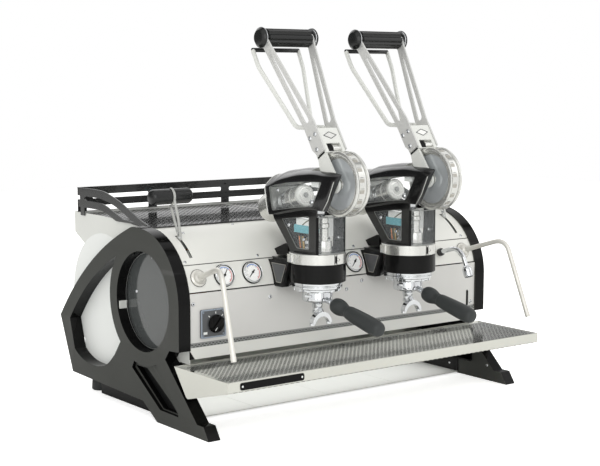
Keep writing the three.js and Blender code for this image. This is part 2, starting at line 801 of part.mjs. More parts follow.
// The upper panel carries the ears and pins of the steam levers on its inside
function steamEars(side) {
  const x = side * steamX;
  const inner = steamStripThickness / 2 + clearance;
  const pivot = new THREE.Vector2(steamPivotY, steamPivotZ);
  const ear = new THREE.Shape();
  ear.absarc(bodyCentreY, bodyCentreZ, bodyRadius - sheet / 2, 100 * degree, 112 * degree, false);
  ear.lineTo(pivot.x - steamEye, pivot.y);
  ear.lineTo(pivot.x, pivot.y - steamEye);
  ear.lineTo(pivot.x + steamEye, pivot.y);
  const pin = rod(
    new THREE.Vector3(x - inner - earThickness, pivot.x, pivot.y),
    new THREE.Vector3(x + inner + earThickness, pivot.x, pivot.y),
    steamPin,
  );
  return [
    pushed('x', ear, x + inner, x + inner + earThickness, 1),
    pushed('x', ear, x - inner - earThickness, x - inner, 1),
    pin,
  ];
}

function upperPanel() {
  const slots = bothSides((side) => {
    const half = steamStripThickness / 2 + steamSlotSide;
    const shape = sector(
      bodyCentreY, bodyCentreZ, bodyRadius + cutOverrun, bodyRadius - sheet - cutOverrun, ...steamSlotArc,
    );
    return pushed('x', shape, side * steamX - half, side * steamX + half, partArcSteps);
  });
  const shell = curvedPanel(upperSeam - seamGap, upperEnd, 2 * partArcSteps).subtract(joined(slots));
  return joined([shell, ...steamEars(-1), ...steamEars(1)]);
}

machine.add(piece('upper_panel', upperPanel(), looks.polished));

// Cup tray and the rail round it
function cupTray() {
  const half = caseHalfWidth - sheet - clearance;
  return block([-half, half], [bodyCentreY, caseRearY - sheet - clearance], [cupTrayZ, cupTrayZ + cupTrayThickness]);
}

machine.add(piece('cup_tray', cupTray(), looks.gloss));

function railSide(side) {
  const place = (shares) => scaled(shares, [railFrontY, railFootZ], [railRun, railRise]);
  const shape = polygon([...place(railTopShares), ...place(railUnderShares), [railRearY, railTopZ - railUpperBar
    - railGap - railLowerBar]]);
  shape.holes.push(polygon(place(railHoleShares)));
  const inner = innerHalfWidth - clearance;
  return pushed('x', shape, ...[side * inner, side * (inner + railThickness)].sort((a, b) => a - b));
}

function railBack() {
  const half = innerHalfWidth - clearance + railThickness;
  const upper = railTopZ - railUpperBar;
  const lower = upper - railGap - railLowerBar;
  const foot = caseTopZ + clearance;
  const shape = polygon([[-half, foot], [half, foot], [half, railTopZ], [-half, railTopZ]]);
  const stops = [-half, ...railBays, half];
  for (let bay = 0; bay < stops.length - 1; bay += 1) {
    const from = stops[bay] + railPost / 2;
    const to = stops[bay + 1] - railPost / 2;
    shape.holes.push(polygon([
      [from, upper - railGap + railSlotEnd], [from + railSlotEnd, upper - railGap], [to - railSlotEnd, upper - railGap],
      [to, upper - railGap + railSlotEnd], [to, upper - railSlotEnd], [to - railSlotEnd, upper],
      [from + railSlotEnd, upper], [from, upper - railSlotEnd],
    ]));
  }
  const gaps = stops.slice(0, -1).map((stop, bay) => block(
    [stop + railPost / 2, stops[bay + 1] - railPost / 2],
    [railRearY - railThickness - cutOverrun, railRearY + cutOverrun],
    [foot - cutOverrun, lower],
  ));
  return pushed('y', shape, railRearY - railThickness, railRearY).subtract(joined(gaps));
}

machine.add(piece('cup_rail', joined([railBack(), ...bothSides(railSide)]), looks.gloss));

// Gauges: case, bezel with a sunk dial, and a needle on the dial
function gauge(index) {
  const frame = new THREE.Group();
  frame.position.copy(onCurve(gaugeXs[index], instrumentAngle));
  frame.quaternion.setFromUnitVectors(unitZ, outward(instrumentAngle));
  const back = clearance;
  const dial = bezelHeight - dialDepth;
  const profile = [
    [0, -gaugeCaseDepth], [gaugeCaseRadius, -gaugeCaseDepth], [gaugeCaseRadius, back], [bezelRadius, back],
    [bezelRadius, bezelHeight - 2], [bezelRadius - 2, bezelHeight], [dialRadius, bezelHeight], [dialRadius, dial], [0, dial],
  ];
  frame.add(piece(`${gaugeNames[index]}_gauge`, solid(turnedZ(profile)), looks.white));
  const blade = polygon([
    [-needleWidth, -needleTail], [needleWidth, -needleTail], [needleWidth / 3, needleLength], [-needleWidth / 3, needleLength],
  ]);
  const needle = pushed('z', blade, dial + clearance, dial + clearance + needleThickness)
    .add(pushed('z', circle(0, 0, needleHub), dial + clearance, bezelHeight - clearance, smallSides / 2));
  const hand = piece(`${gaugeNames[index]}_needle`, needle, looks.gloss);
  hand.rotation.z = needleTurns[index];
  frame.add(hand);
  return frame;
}

machine.add(...gaugeXs.map((x, index) => gauge(index)));

// Rotary switch: a round knob with a raised grip across it
function knob() {
  const start = new THREE.Vector3(knobX, bodyFrontY + 2 * cutOverrun, knobZ);
  const profile = [
    [0, 0], [knobShaft, 0], [knobShaft, 2 * cutOverrun + knobStandOff], [knobRadius, 2 * cutOverrun + knobStandOff],
    [knobRadius, 2 * cutOverrun + knobStandOff + knobDepth - knobGripDepth],
    [0, 2 * cutOverrun + knobStandOff + knobDepth - knobGripDepth],
  ];
  const front = bodyFrontY - knobStandOff - knobDepth;
  return turnedAlong(profile, start, new THREE.Vector3(0, -1, 0), 2 * smallSides).add(block(
    [knobX - knobGripWidth / 2, knobX + knobGripWidth / 2], [front, front + 1.5 * knobGripDepth],
    [knobZ - 0.9 * knobRadius, knobZ + 0.9 * knobRadius],
  ));
}

machine.add(piece('mode_knob', knob(), looks.gloss));

// Steam levers: a cranked strip on a pin inside the upper panel, with a round grip across its top
function steamLever(side) {
  const strip = polygon(scaled(steamStripShares, [steamPivotY, steamPivotZ], [steamReach, steamReach]));
  const x = side * steamX;
  const half = steamStripThickness / 2;
  const eye = pushed('x', circle(steamPivotY, steamPivotZ, steamEye), x - half, x + half, smallSides / 2);
  const bore = pushed('x', circle(steamPivotY, steamPivotZ, steamPin + clearance), x - 2 * half, x + 2 * half, smallSides / 2);
  const grip = [[0, 0], [0.6 * steamGripRadius, 0], [steamGripRadius, steamGripRadius / 2],
    [steamGripRadius, 2 * steamGripHalfLength - steamGripRadius / 2],
    [0.6 * steamGripRadius, 2 * steamGripHalfLength], [0, 2 * steamGripHalfLength]];
  const start = new THREE.Vector3(x - steamGripHalfLength, steamPivotY, steamPivotZ + steamReach);
  const body = joined([pushed('x', strip, x - half, x + half), eye]).subtract(bore)
    .add(turnedAlong(grip, start, unitX, 2 * smallSides));
  return piece(`${sideNames[side]}_steam_lever`, body, looks.rubber);
}

machine.add(...bothSides(steamLever));

// Steam wands: a ball in the socket of the gauge panel and a bent tube from it
function wand(side) {
  const name = sideNames[side];
  const frame = new THREE.Group();
  frame.position.copy(onCurve(side * wandX, instrumentAngle, ballSeat));
  frame.rotation.z = wandSwings[name];
  frame.add(piece(`${name}_wand_ball`, solid(new THREE.SphereGeometry(ballRadius, smallSides, smallSides / 2)), looks.chrome));
  const at = ([reach, rise]) => new THREE.Vector3(0, -reach, rise);
  const start = at(wandApex).setLength(ballRadius + clearance);
  frame.add(piece(`${name}_wand`, bentRod([start, at(wandApex), at(wandTip)], wandRadius, wandBend), looks.chrome));
  return frame;
}

machine.add(...bothSides(wand));

// Hot-water tap: collar, bent tube and a wide nozzle
function waterTap() {
  const out = outward(instrumentAngle);
  const base = onCurve(tapX, instrumentAngle);
  const stem = base.clone().addScaledVector(out, -2 * cutOverrun);
  const collar = [
    [0, 0], [tapStem, 0], [tapStem, 2 * cutOverrun + clearance], [tapCollarRadius, 2 * cutOverrun + clearance],
    [tapCollarRadius, 2 * cutOverrun + tapCollarHeight], [0, 2 * cutOverrun + tapCollarHeight],
  ];
  const corners = scaled(tapRiseShares, [base.y, base.z], [-tapReach, tapReach])
    .map(([y, z]) => new THREE.Vector3(tapX, y, z));
  const lean = new THREE.Vector3(0, ...nozzleLean).normalize();
  const top = corners[corners.length - 1].clone();
  const nozzle = [[0, 0], [0.6 * nozzleRadius, 0], [nozzleRadius, nozzleRadius / 2], [nozzleRadius, nozzleLength], [0, nozzleLength]];
  const start = base.clone().addScaledVector(out, tapCollarHeight / 2);
  return joined([
    turnedAlong(collar, stem, out, smallSides),
    bentRod([start, corners[0], corners[1], top.clone().addScaledVector(lean, nozzleLength / 2)], tapRadius, 1.5 * tapRadius, 0.75 * smallSides),
    turnedAlong(nozzle, top, lean, smallSides),
  ]);
}

machine.add(piece('water_tap', waterTap(), looks.chrome));

// One group, in a frame whose origin is on the group's axis at the counter
const toGroup = (y) => y - groupY;

function groupBody() {
  const barrelTop = ringTopZ - clearance;
  const profile = [
    [flangeRadius, flangeStepZ], [flangeRadius, bandBottomZ - clearance], [barrelRadius, bandBottomZ - clearance],
    [barrelRadius, barrelTop], [sleeveRadius, barrelTop], [sleeveRadius, sleeveTopZ], [rodRadius + runningGap, sleeveTopZ],
    [rodRadius + runningGap, boreTopZ], [boreRadius, boreTopZ], [boreRadius, flangeBottomZ],
    [flangeStepRadius, flangeBottomZ], [flangeStepRadius, flangeStepZ], [flangeRadius, flangeStepZ],
  ];
  return solid(turnedZ(profile));
}

function collarRing(from, to) {
  const inner = barrelRadius + clearance;
  return solid(turnedZ([[inner, from], [groupRadius, from], [groupRadius, to], [inner, to], [inner, from]]));
}

function piston() {
  const head = boreRadius - runningGap;
  const plungerZ = sleeveTopZ + 2 * clearance;
  return solid(turnedZ([
    [0, pistonZ], [head, pistonZ], [head, pistonZ + pistonHeight], [rodRadius, pistonZ + pistonHeight],
    [rodRadius, plungerZ], [plungerRadius, plungerZ], [plungerRadius, plungerTopZ], [0, plungerTopZ],
  ]));
}

function groupBracket() {
  const reach = bodyCentreY;
  const cheek = polygon([
    [toGroup(bracketFootY), bracketBottomZ], [toGroup(reach), bracketBottomZ],
    [toGroup(reach), bracketTopZ], [toGroup(bracketFrontY), bracketTopZ],
  ]);
  const box = pushed('x', cheek, -bracketHalfWidth, bracketHalfWidth);
  const wedge = pushed('x', polygon(scaled(wedgePoints, [groupRadius - wedgeReach / 10, wedgeBottomZ], [wedgeReach, wedgeHeight])),
    -wedgeHalfWidth, wedgeHalfWidth);
  const web = block([-wedgeHalfWidth, wedgeHalfWidth], [groupRadius, groupRadius + wedgeReach], [bracketTopZ - cutOverrun,
    wedgeBottomZ + cutOverrun]);
  const round = rod(new THREE.Vector3(0, 0, bracketBottomZ - cutOverrun), new THREE.Vector3(0, 0, wedgeBottomZ + wedgeHeight
    + cutOverrun), groupRadius + clearance, roundSides);
  const body = pushed('x', circle(toGroup(bodyCentreY), bodyCentreZ, bodyRadius + 2 * clearance), -groupX, groupX, roundSides);
  const behind = block([-groupX, groupX], [toGroup(bodyCentreY) - bodyRadius / 2, 2 * reach], [0, 2 * reach]);
  const splash = block([-groupX, groupX], [toGroup(bodyFrontY) - clearance, reach], [0, splashTopZ + clearance]);
  return joined([box, wedge, web]).subtract(joined([round, body, behind, splash]));
}

// The hood's top rises from its edges to a crown along the middle
function hoodShell() {
  const place = (shares) => scaled(shares, [toGroup(hoodFrontY), hoodBottomZ], [hoodDepth, hoodHeight]);
  const top = place(hoodTopShares);
  const under = place(hoodUnderShares);
  const count = top.length + under.length;
  const spots = [];
  hoodStationShares.forEach((share) => {
    const swell = 1 - share * share;
    top.forEach(([y, z], index) => spots.push(
      share * hoodHalfWidth, y - swell * hoodBow * hoodBowShares[index], z + swell * hoodCrown * hoodCrownShares[index],
    ));
    under.forEach(([y, z]) => spots.push(share * hoodHalfWidth, y, z));
  });
  const cap = THREE.ShapeUtils.triangulateShape([...top, ...under].map(([y, z]) => new THREE.Vector2(y, z)), []);
  const last = count * (hoodStationShares.length - 1);
  const ends = cap.flatMap(([a, b, c]) => [a, c, b, last + a, last + b, last + c]);
  return meshed(spots, [...bandCorners(hoodStationShares.length, count), ...ends]);
}

const drumAxis = new THREE.Vector3(0, Math.cos(drumTilt), -Math.sin(drumTilt));
const drumStart = new THREE.Vector3(0, toGroup(drumY), drumZ);

function groupHood() {
  const hoodPlace = (shares) => polygon(scaled(shares, [toGroup(hoodFrontY), hoodBottomZ], [hoodDepth, hoodHeight]));
  const neckHeight = hoodBottomZ - ringTopZ;
  const neckPlace = (shares) => polygon(scaled(shares, [toGroup(neckFrontY), ringTopZ + clearance], [neckDepth, neckHeight]));
  const hub = new THREE.Vector3(0, toGroup(hubY), hubZ);
  const slotBottom = hubZ - wheelRadius - slotMargin;
  const slotRear = hub.y + wheelRadius + slotMargin;
  const cavityHalf = hoodHalfWidth - hoodWall;
  const neckHalf = neckHalfWidth - neckWall;
  const drumAt = (along) => drumStart.clone().addScaledVector(drumAxis, along);
  const spigot = rod(drumAt(-drumSpigotLength), drumAt(clearance - drumSpigotLength / 2), drumSpigotRadius + clearance, roundSides)
    .add(rod(drumAt(-drumSpigotLength / 2), drumAt(4 * cutOverrun), drumNeckRadius + clearance, roundSides));
  const boreHalf = hoodHalfWidth - hoodWall;
  const slotHalfWidth = blockHalfWidth + slotSide;
  const panes = bothSides((side) => {
    const spanUpper = [side * (hoodHalfWidth - paneRecess), side * (hoodHalfWidth + cutOverrun)].sort((a, b) => a - b);
    const spanLower = [side * (neckHalfWidth - paneRecess), side * (neckHalfWidth + cutOverrun)].sort((a, b) => a - b);
    return pushed('x', hoodPlace(upperPaneShares), ...spanUpper).add(pushed('x', neckPlace(lowerPaneShares), ...spanLower));
  });
  const outside = hoodShell().add(pushed('x', neckPlace(neckShares), -neckHalfWidth, neckHalfWidth));
  return outside
    .subtract(pushed('x', hoodPlace(cavityShares), -cavityHalf, cavityHalf))
    .subtract(pushed('x', neckPlace(neckCavityShares), -neckHalf, neckHalf))
    .subtract(block([-slotHalfWidth, slotHalfWidth], [toGroup(hoodFrontY) - 2 * hoodBow, slotRear], [slotBottom,
      hubZ + wheelRadius]))
    .subtract(rod(new THREE.Vector3(-boreHalf, hub.y, hub.z), new THREE.Vector3(boreHalf, hub.y, hub.z),
      axleRadius + clearance, 2 * smallSides))
    .subtract(spigot)
    .subtract(joined(panes));
}

function frontCover() {
  const top = hubZ - wheelRadius - slotMargin - clearance;
  const from = ringTopZ + clearance;
  const ring = solid(turnedZ([
    [coverRadius - coverThickness, from], [coverRadius, from], [coverRadius, top], [coverRadius - coverThickness, top],
    [coverRadius - coverThickness, from],
  ]));
  const edge = toGroup(neckFrontY) - clearance;
  const front = block([-coverRadius, coverRadius], [-2 * coverRadius, edge], [from - cutOverrun, top + cutOverrun]);
  return ring.intersect(front);
}

function springDrum() {
  const back = drumStandOff;
  const profile = [
    [0, -drumSpigotLength], [drumSpigotRadius, -drumSpigotLength], [drumSpigotRadius, -drumSpigotLength / 2],
    [drumNeckRadius, -drumSpigotLength / 2], [drumNeckRadius, back], [drumRadius - 2, back],
    [drumRadius, back + 2], [drumRadius, back + drumLength - 6], [drumRadius - 6, back + drumLength], [0, back + drumLength],
  ];
  return turnedAlong(profile, drumStart, drumAxis);
}

function ratchetWheel() {
  const axle = hoodHalfWidth - hoodWall - clearance;
  const profile = [
    [0, -axle], [axleRadius, -axle], [axleRadius, -wheelWeb], [wheelInnerRadius, -wheelWeb],
    [wheelInnerRadius, -wheelHalfWidth], [wheelRadius, -wheelHalfWidth], [wheelRadius, wheelHalfWidth],
    [wheelInnerRadius, wheelHalfWidth], [wheelInnerRadius, wheelWeb], [axleRadius, wheelWeb], [axleRadius, axle], [0, axle],
  ];
  return turnedAlong(profile, new THREE.Vector3(0, toGroup(hubY), hubZ), unitX);
}

// Lever pieces, in a frame at the hub with +Z along the lever and +Y to its back
function leverBlock() {
  const eye = circle(0, 0, hubEyeRadius);
  const inner = blockHalfWidth - earWall;
  const leg = polygon([[-hubEyeRadius, 0], ...earShares.map(([t, w]) => [w * blockBottom, t * blockBottom]), [hubEyeRadius, 0]]);
  const ears = bothSides((side) => {
    const span = [side * inner, side * blockHalfWidth].sort((a, b) => a - b);
    return pushed('x', eye, ...span, smallSides / 2).add(pushed('x', leg, ...span));
  });
  const bore = pushed('x', circle(0, 0, axleRadius + clearance), -groupX, groupX, smallSides);
  const [[low, high], half] = blockWindow;
  return joined([
    block([-blockHalfWidth, blockHalfWidth], [-blockHalfDepth, blockHalfDepth], [blockBottom, blockTop]),
    ...ears,
  ]).subtract(bore).subtract(block([-half, half], [-2 * blockHalfDepth, 2 * blockHalfDepth], [low, high]));
}

function armInside(t) {
  return blockHalfWidth + clearance + armSplay * (t - armBend) / (leverLength - armBend);
}

function leverArms() {
  const inner = armInside(armBend);
  const foot = polygon([
    [-armFootHalfWidth, armBottom], [armFootHalfWidth / 2, armBottom], [armFootHalfWidth, armBottom + armFootHalfWidth],
    [armFootHalfWidth, armBend + 1], [-armFootHalfWidth, armBend + 1],
  ]);
  const upper = new THREE.Shape();
  upper.moveTo(-armFootHalfWidth, armBend);
  upper.lineTo(armFootHalfWidth, armBend);
  upper.lineTo(armTopHalfWidth, leverLength);
  upper.absarc(0, leverLength, armTopHalfWidth, 0, Math.PI, false);
  const slot = new THREE.Shape();
  slot.absarc(0, armSlot[0], armSlotHalfWidths[0], Math.PI, 2 * Math.PI, false);
  slot.absarc(0, armSlot[1], armSlotHalfWidths[1], 0, Math.PI, false);
  upper.holes.push(slot);
  const slope = armSplay / (leverLength - armBend);
  const arms = bothSides((side) => {
    const geometry = new THREE.ExtrudeGeometry(upper, { depth: armThickness, bevelEnabled: false, curveSegments: partArcSteps });
    geometry.applyMatrix4(pushBases.x);
    const lean = new THREE.Matrix4().makeShear(0, 0, 0, 0, slope, 0);
    geometry.applyMatrix4(lean).translate(inner - slope * armBend, 0, 0);
    if (side < 0) geometry.scale(side, 1, 1);
    return solid(geometry).add(pushed('x', foot, ...[side * inner, side * (inner + armThickness)].sort((a, b) => a - b)));
  });
  const reach = inner + armSplay;
  const crossRod = rod(new THREE.Vector3(-reach, 0, leverLength), new THREE.Vector3(reach, 0, leverLength), gripCore,
    smallSides);
  const cap = [[0, 0], [capRadius, 0], [capRadius, capLength / 4], [capTipRadius, capLength], [0, capLength]];
  const caps = bothSides((side) => {
    const start = new THREE.Vector3(side * (reach + armThickness - 1), 0, leverLength);
    return turnedAlong(cap, start, unitX.clone().multiplyScalar(side), smallSides);
  });
  return joined([...arms, crossRod, ...caps]);
}

function leverGrip() {
  const half = armInside(leverLength - gripRadius) - clearance;
  const section = new THREE.Shape();
  for (let flute = 0; flute < flutes; flute += 1) {
    [[0, 0], [0.18, 0], [0.32, 1], [0.68, 1], [0.82, 0]].forEach(([turn, dip]) => {
      const angle = 2 * Math.PI * (flute + turn) / flutes;
      const radius = gripRadius - dip * fluteDepth;
      const point = [radius * Math.cos(angle), leverLength + radius * Math.sin(angle)];
      if (flute + turn === 0) section.moveTo(...point);
      else section.lineTo(...point);
    });
  }
  section.holes.push(circle(0, leverLength, gripCore + clearance));
  return pushed('x', section, -half, half, smallSides / 2);
}

function releaseLever() {
  const points = [
    [releaseFootX, releasePivot], [releaseFootX, releaseHeel], [releaseKneeX, releaseKnee],
    [releaseBarX, [leverLength, releaseBarAcross]],
  ];
  const [along, across] = releasePivot;
  const pins = bothSides((side) => rod(
    new THREE.Vector3(side * (releaseFootX - releaseRod), across, along),
    new THREE.Vector3(side * (armInside(armBend) - clearance), across, along),
    releaseRod,
  ));
  const left = points.map(([x, [t, w]]) => new THREE.Vector3(-x, w, t));
  const right = points.map(([x, [t, w]]) => new THREE.Vector3(x, w, t)).reverse();
  return joined([bentRod([...left, ...right], releaseRod, releaseBend, 0.75 * smallSides), ...pins]);
}

function portafilter() {
  const start = flangeBottomZ - clearance;
  const cup = solid(turnedZ([
    [0, stemBottomZ], [stemRadius, stemBottomZ], [stemRadius, cupFootZ], [cupFootRadius, cupFootZ], [cupRadius, cupBottomZ],
    [cupRadius, start], [0, start],
  ]));
  const arch = new THREE.Shape();
  arch.absarc(0, archZ, archRadius, 0, Math.PI, false);
  const hollow = new THREE.Path();
  hollow.absarc(0, archZ - archDrop, archInnerRadius, Math.PI, 0, true);
  hollow.getPoints(roundSides / 4).filter((point) => point.y > archZ).forEach((point) => arch.lineTo(point.x, point.y));
  const spout = pushed('y', arch, -archForward - archHalfThickness, archHalfThickness - archForward, smallSides);
  const down = new THREE.Vector3(0, -Math.cos(handleSlope), -Math.sin(handleSlope));
  const neckEnd = new THREE.Vector3(0, handleY, handleZ).addScaledVector(down, -clearance);
  const neck = rod(neckEnd.clone().addScaledVector(down, -handleNeckStart), neckEnd, handleNeckRadius);
  return joined([cup, spout, neck]);
}

function portafilterHandle() {
  const down = new THREE.Vector3(0, -Math.cos(handleSlope), -Math.sin(handleSlope));
  const profile = handleShares.map(([along, radius]) => [radius * handleRadius, along * handleLength]);
  return turnedAlong([[0, 0], ...profile, [0, handleLength]], new THREE.Vector3(0, handleY, handleZ), down, 1.5 * smallSides);
}

function brewGroup(side) {
  const name = sideNames[side];
  const frame = new THREE.Group();
  frame.position.set(side * groupX, groupY, 0);
  frame.add(
    piece(`${name}_group_body`, groupBody(), looks.chrome),
    piece(`${name}_group_band`, collarRing(bandBottomZ, ringBottomZ - clearance), looks.gloss),
    piece(`${name}_clamp_ring`, collarRing(ringBottomZ, ringTopZ), looks.aluminium),
    piece(`${name}_group_bracket`, groupBracket(), looks.gloss),
    piece(`${name}_piston`, piston(), looks.chrome),
    piece(`${name}_hood`, groupHood(), looks.gloss),
    piece(`${name}_front_cover`, frontCover(), looks.clear),
    piece(`${name}_spring_drum`, springDrum(), looks.aluminium),
    piece(`${name}_ratchet_wheel`, ratchetWheel(), looks.aluminium),
    piece(`${name}_portafilter`, portafilter(), looks.chrome),
    piece(`${name}_portafilter_handle`, portafilterHandle(), looks.rubber),
  );
  const lever = new THREE.Group();
  lever.position.set(0, toGroup(hubY), hubZ);
  lever.rotation.x = -leverLean;
  lever.add(
    piece(`${name}_lever_block`, leverBlock(), looks.aluminium),
    piece(`${name}_lever_arms`, leverArms(), looks.satin),
    piece(`${name}_lever_grip`, leverGrip(), looks.rubber),
    piece(`${name}_release_lever`, releaseLever(), looks.satin),
  );
  frame.add(lever);
  return frame;
}

machine.add(...bothSides(brewGroup));

// The origin goes under the middle of the machine's box
const box = new THREE.Box3().setFromObject(machine, true);
const centre = box.getCenter(new THREE.Vector3());
machine.position.set(-centre.x, -centre.y, 0);

export default machine;
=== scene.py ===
"""Looks of a two-group lever espresso machine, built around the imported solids.

Lengths are millimetres in the solids' own axes, with depths measured from the toes of the side panels.
at() turns them into metres in the shared frame.
"""
import math

import bmesh
import bpy
from mathutils import Matrix, Vector
from mathutils.geometry import tessellate_polygon


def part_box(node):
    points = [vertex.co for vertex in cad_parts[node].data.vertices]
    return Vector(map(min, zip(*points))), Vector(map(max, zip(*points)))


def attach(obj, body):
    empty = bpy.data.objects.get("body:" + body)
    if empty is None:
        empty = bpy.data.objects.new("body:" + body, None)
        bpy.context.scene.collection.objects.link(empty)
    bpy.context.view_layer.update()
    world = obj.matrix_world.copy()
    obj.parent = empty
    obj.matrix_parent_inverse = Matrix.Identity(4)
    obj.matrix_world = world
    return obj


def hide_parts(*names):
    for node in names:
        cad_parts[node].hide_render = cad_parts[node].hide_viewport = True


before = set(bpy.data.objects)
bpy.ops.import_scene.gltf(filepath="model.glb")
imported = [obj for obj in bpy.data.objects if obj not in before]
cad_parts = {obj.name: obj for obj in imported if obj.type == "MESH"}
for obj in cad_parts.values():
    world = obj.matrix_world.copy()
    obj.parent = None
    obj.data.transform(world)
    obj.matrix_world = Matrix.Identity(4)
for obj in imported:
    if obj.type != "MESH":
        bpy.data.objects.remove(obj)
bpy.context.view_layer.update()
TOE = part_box("left_side_panel")[0][1] * 1000

SIDES = {"left": -1, "right": 1}
RAD = math.pi / 180
INNER = 467
OUTER = 500
BODY = (301, 289)
BODY_R = 172
WINDOW = (291, 286)
WINDOW_R = 123.2
GROUP_X = 148.1
GROUP_Y = 49
HUB = (-48, 579)
LEAN = 33 * RAD
INSTRUMENT = 157 * RAD
FRONT_X = 466.5
CASE_X = 463.9
REAR = (539.3, 261.5)
REAR_R = 165.4
BOILER = (320, 262)
TRAY_X = 500.6
STEAM_X = 435
STEAM_PIVOT = (262, 398)
WAND_X = 433
TAP_X = 345
SWITCH = (-396, 246)
GRIP_REACH = 413

# The solved camera: its place, its turns in degrees and its focal length in pixels of the photograph
CAMERA = (-2163.19, -2523.61, 840.06)
CAMERA_TURNS = (-37.32, 6.75, 0.19)
FOCAL_PIXELS = 1352.42
PHOTO_WIDTH = 600
SENSOR = 36
HEAD_WATTS = 0.012


def at(x, y, z):
    """Millimetres from the toes of the side panels, in metres of the shared frame."""
    return Vector((x, y + TOE, z)) / 1000


# Materials
def linear(colour):
    """A colour of 0 to 255 as linear light."""
    return tuple(c / 3294.6 if c <= 10 else ((c / 255 + 0.055) / 1.055) ** 2.4 for c in colour) + (1,)


def look(name, colour, rough, metal=0, coat=0, spec=0.5, scale=60, stretch=(1, 1, 1), tint=0.06, spread=0.06,
         bump=0.1,
         alpha=1, pale_edges=0):
    """A node material: stretched grain in colour, roughness and height, blotches, and edges made paler."""
    material = bpy.data.materials.new(name)
    material.use_nodes = True
    tree = material.node_tree
    shader = tree.nodes["Principled BSDF"]
    shader.inputs["Metallic"].default_value = metal
    shader.inputs["Coat Weight"].default_value = coat
    shader.inputs["Coat Roughness"].default_value = 0.05
    shader.inputs["Specular IOR Level"].default_value = spec
    shader.inputs["Alpha"].default_value = alpha

    def node(kind, **values):
        made = tree.nodes.new(kind)
        for key, value in values.items():
            made.inputs[key].default_value = value
        return made

    def link(a, out, b, into):
        tree.links.new(a.outputs[out], b.inputs[into])

    coords = tree.nodes.new("ShaderNodeTexCoord")
    mapping = node("ShaderNodeMapping", Scale=stretch)
    grain = node("ShaderNodeTexNoise", Scale=scale, Detail=6, Roughness=0.6)
    blotch = node("ShaderNodeTexNoise", Scale=7, Detail=3)
    link(coords, "Object", mapping, "Vector")
    link(mapping, "Vector", grain, "Vector")
    link(coords, "Object", blotch, "Vector")
    both = tree.nodes.new("ShaderNodeMath")
    both.operation = "ADD"
    link(grain, "Fac", both, 0)
    link(blotch, "Fac", both, 1)
    shade = node("ShaderNodeMapRange",
                 **{"From Min": 0.6, "From Max": 1.4, "To Min": 1 - tint, "To Max": 1 + tint})
    link(both, "Value", shade, "Value")
    tone = node("ShaderNodeVectorMath")
    tone.operation = "SCALE"
    tone.inputs[0].default_value = linear(colour)[:3]
    link(shade, "Result", tone, "Scale")
    base = (tone, "Vector")
    # Convex edges found by pointiness are mixed toward grey.
    if pale_edges:
        geometry = tree.nodes.new("ShaderNodeNewGeometry")
        edge = node("ShaderNodeMapRange", **{"From Min": 0.52, "From Max": 0.62, "To Min": 0, "To Max": pale_edges})
        link(geometry, "Pointiness", edge, "Value")
        edge_paling = tree.nodes.new("ShaderNodeMix")
        edge_paling.data_type = "RGBA"
        edge_paling.inputs["B"].default_value = (0.32, 0.32, 0.32, 1)
        link(edge, "Result", edge_paling, "Factor")
        tree.links.new(tone.outputs["Vector"], edge_paling.inputs["A"])
        base = (edge_paling, "Result")
    tree.links.new(base[0].outputs[base[1]], shader.inputs["Base Color"])
    gloss = node("ShaderNodeMapRange",
                 **{"From Min": 0.6, "From Max": 1.4, "To Min": max(rough - spread, 0.02),
                                          "To Max": rough + spread})
    link(both, "Value", gloss, "Value")
    link(gloss, "Result", shader, "Roughness")
    height = node("ShaderNodeBump", Strength=bump, Distance=0.0004)
    link(grain, "Fac", height, "Height")
    link(height, "Normal", shader, "Normal")
    return material


STEEL = look("polished_steel", (214, 214, 206), 0.2, metal=0.5, scale=500, stretch=(0.15, 3, 3), tint=0.015,
             spread=0.03, bump=0.01)
MIRROR = look("mirror_steel", (214, 215, 211), 0.11, metal=1, scale=90, stretch=(0.1, 3, 3), tint=0.02,
              spread=0.03,
              bump=0.02)
SATIN = look("satin_steel", (196, 197, 193), 0.42, metal=0.85, scale=120, stretch=(1, 6, 0.4), tint=0.05,
             bump=0.06)
PALE = look("pale_satin", (224, 225, 221), 0.42, metal=0.1, scale=600, tint=0.01, bump=0.01)
FRONT = look("front_satin", (230, 230, 225), 0.42, metal=0.05, scale=600, stretch=(0.3, 2, 2), tint=0.008,
             bump=0.005)
SPLASH = look("splash_satin", (217, 216, 213), 0.42, metal=0.1, scale=600, stretch=(0.3, 2, 2), tint=0.008,
              bump=0.005)
CHROME = look("chrome", (222, 224, 226), 0.06, metal=0.95, scale=400, tint=0.01, spread=0.02, bump=0.005)
ALU = look("turned_aluminium", (224, 224, 220), 0.2, metal=0.8, scale=500, stretch=(5, 0.5, 0.5), tint=0.02,
           bump=0.02)
WAND = look("wand_satin", (226, 224, 217), 0.3, metal=0.45, scale=700, tint=0.015, spread=0.03, bump=0.01)
SLATE = look("slate_face", (64, 65, 62), 0.5, metal=0.05, spec=0.2, scale=600, tint=0.04, spread=0.08,
             bump=0.08, pale_edges=0.1)
GLOSS = look("gloss_black", (9, 9, 9), 0.1, spec=0.12, scale=25, tint=0.2, spread=0.03, bump=0.02, pale_edges=0.04)
HOOD = look("hood_black", (10, 10, 11), 0.13, coat=0.25, spec=0.45, scale=25, tint=0.2, spread=0.04,
            bump=0.02, pale_edges=0.06)
SHEET = look("powder_black", (22, 23, 23), 0.22, coat=0.5, spec=0.3, scale=900, tint=0.1, bump=0.05,
             pale_edges=0.05)
# Flat black for holes, seams and print; round the gauge bezels it is painted shade.
PIT = look("pit_black", (12, 12, 12), 0.55, spec=0.2, scale=300, tint=0.2, bump=0.1)
GREY = look("grey_backing", (84, 86, 88), 0.3, metal=0.1, scale=200, tint=0.06, bump=0.03)
RUBBER = look("grip_rubber", (52, 55, 55), 0.5, spec=0.35, scale=900, tint=0.06, spread=0.08, bump=0.08)
BAKELITE = look("black_grip", (24, 25, 25), 0.25, coat=0.1, spec=0.4, scale=700, tint=0.12, bump=0.03)
WHITE = look("white_cover", (237, 239, 237), 0.4, scale=500, tint=0.015, bump=0.04)
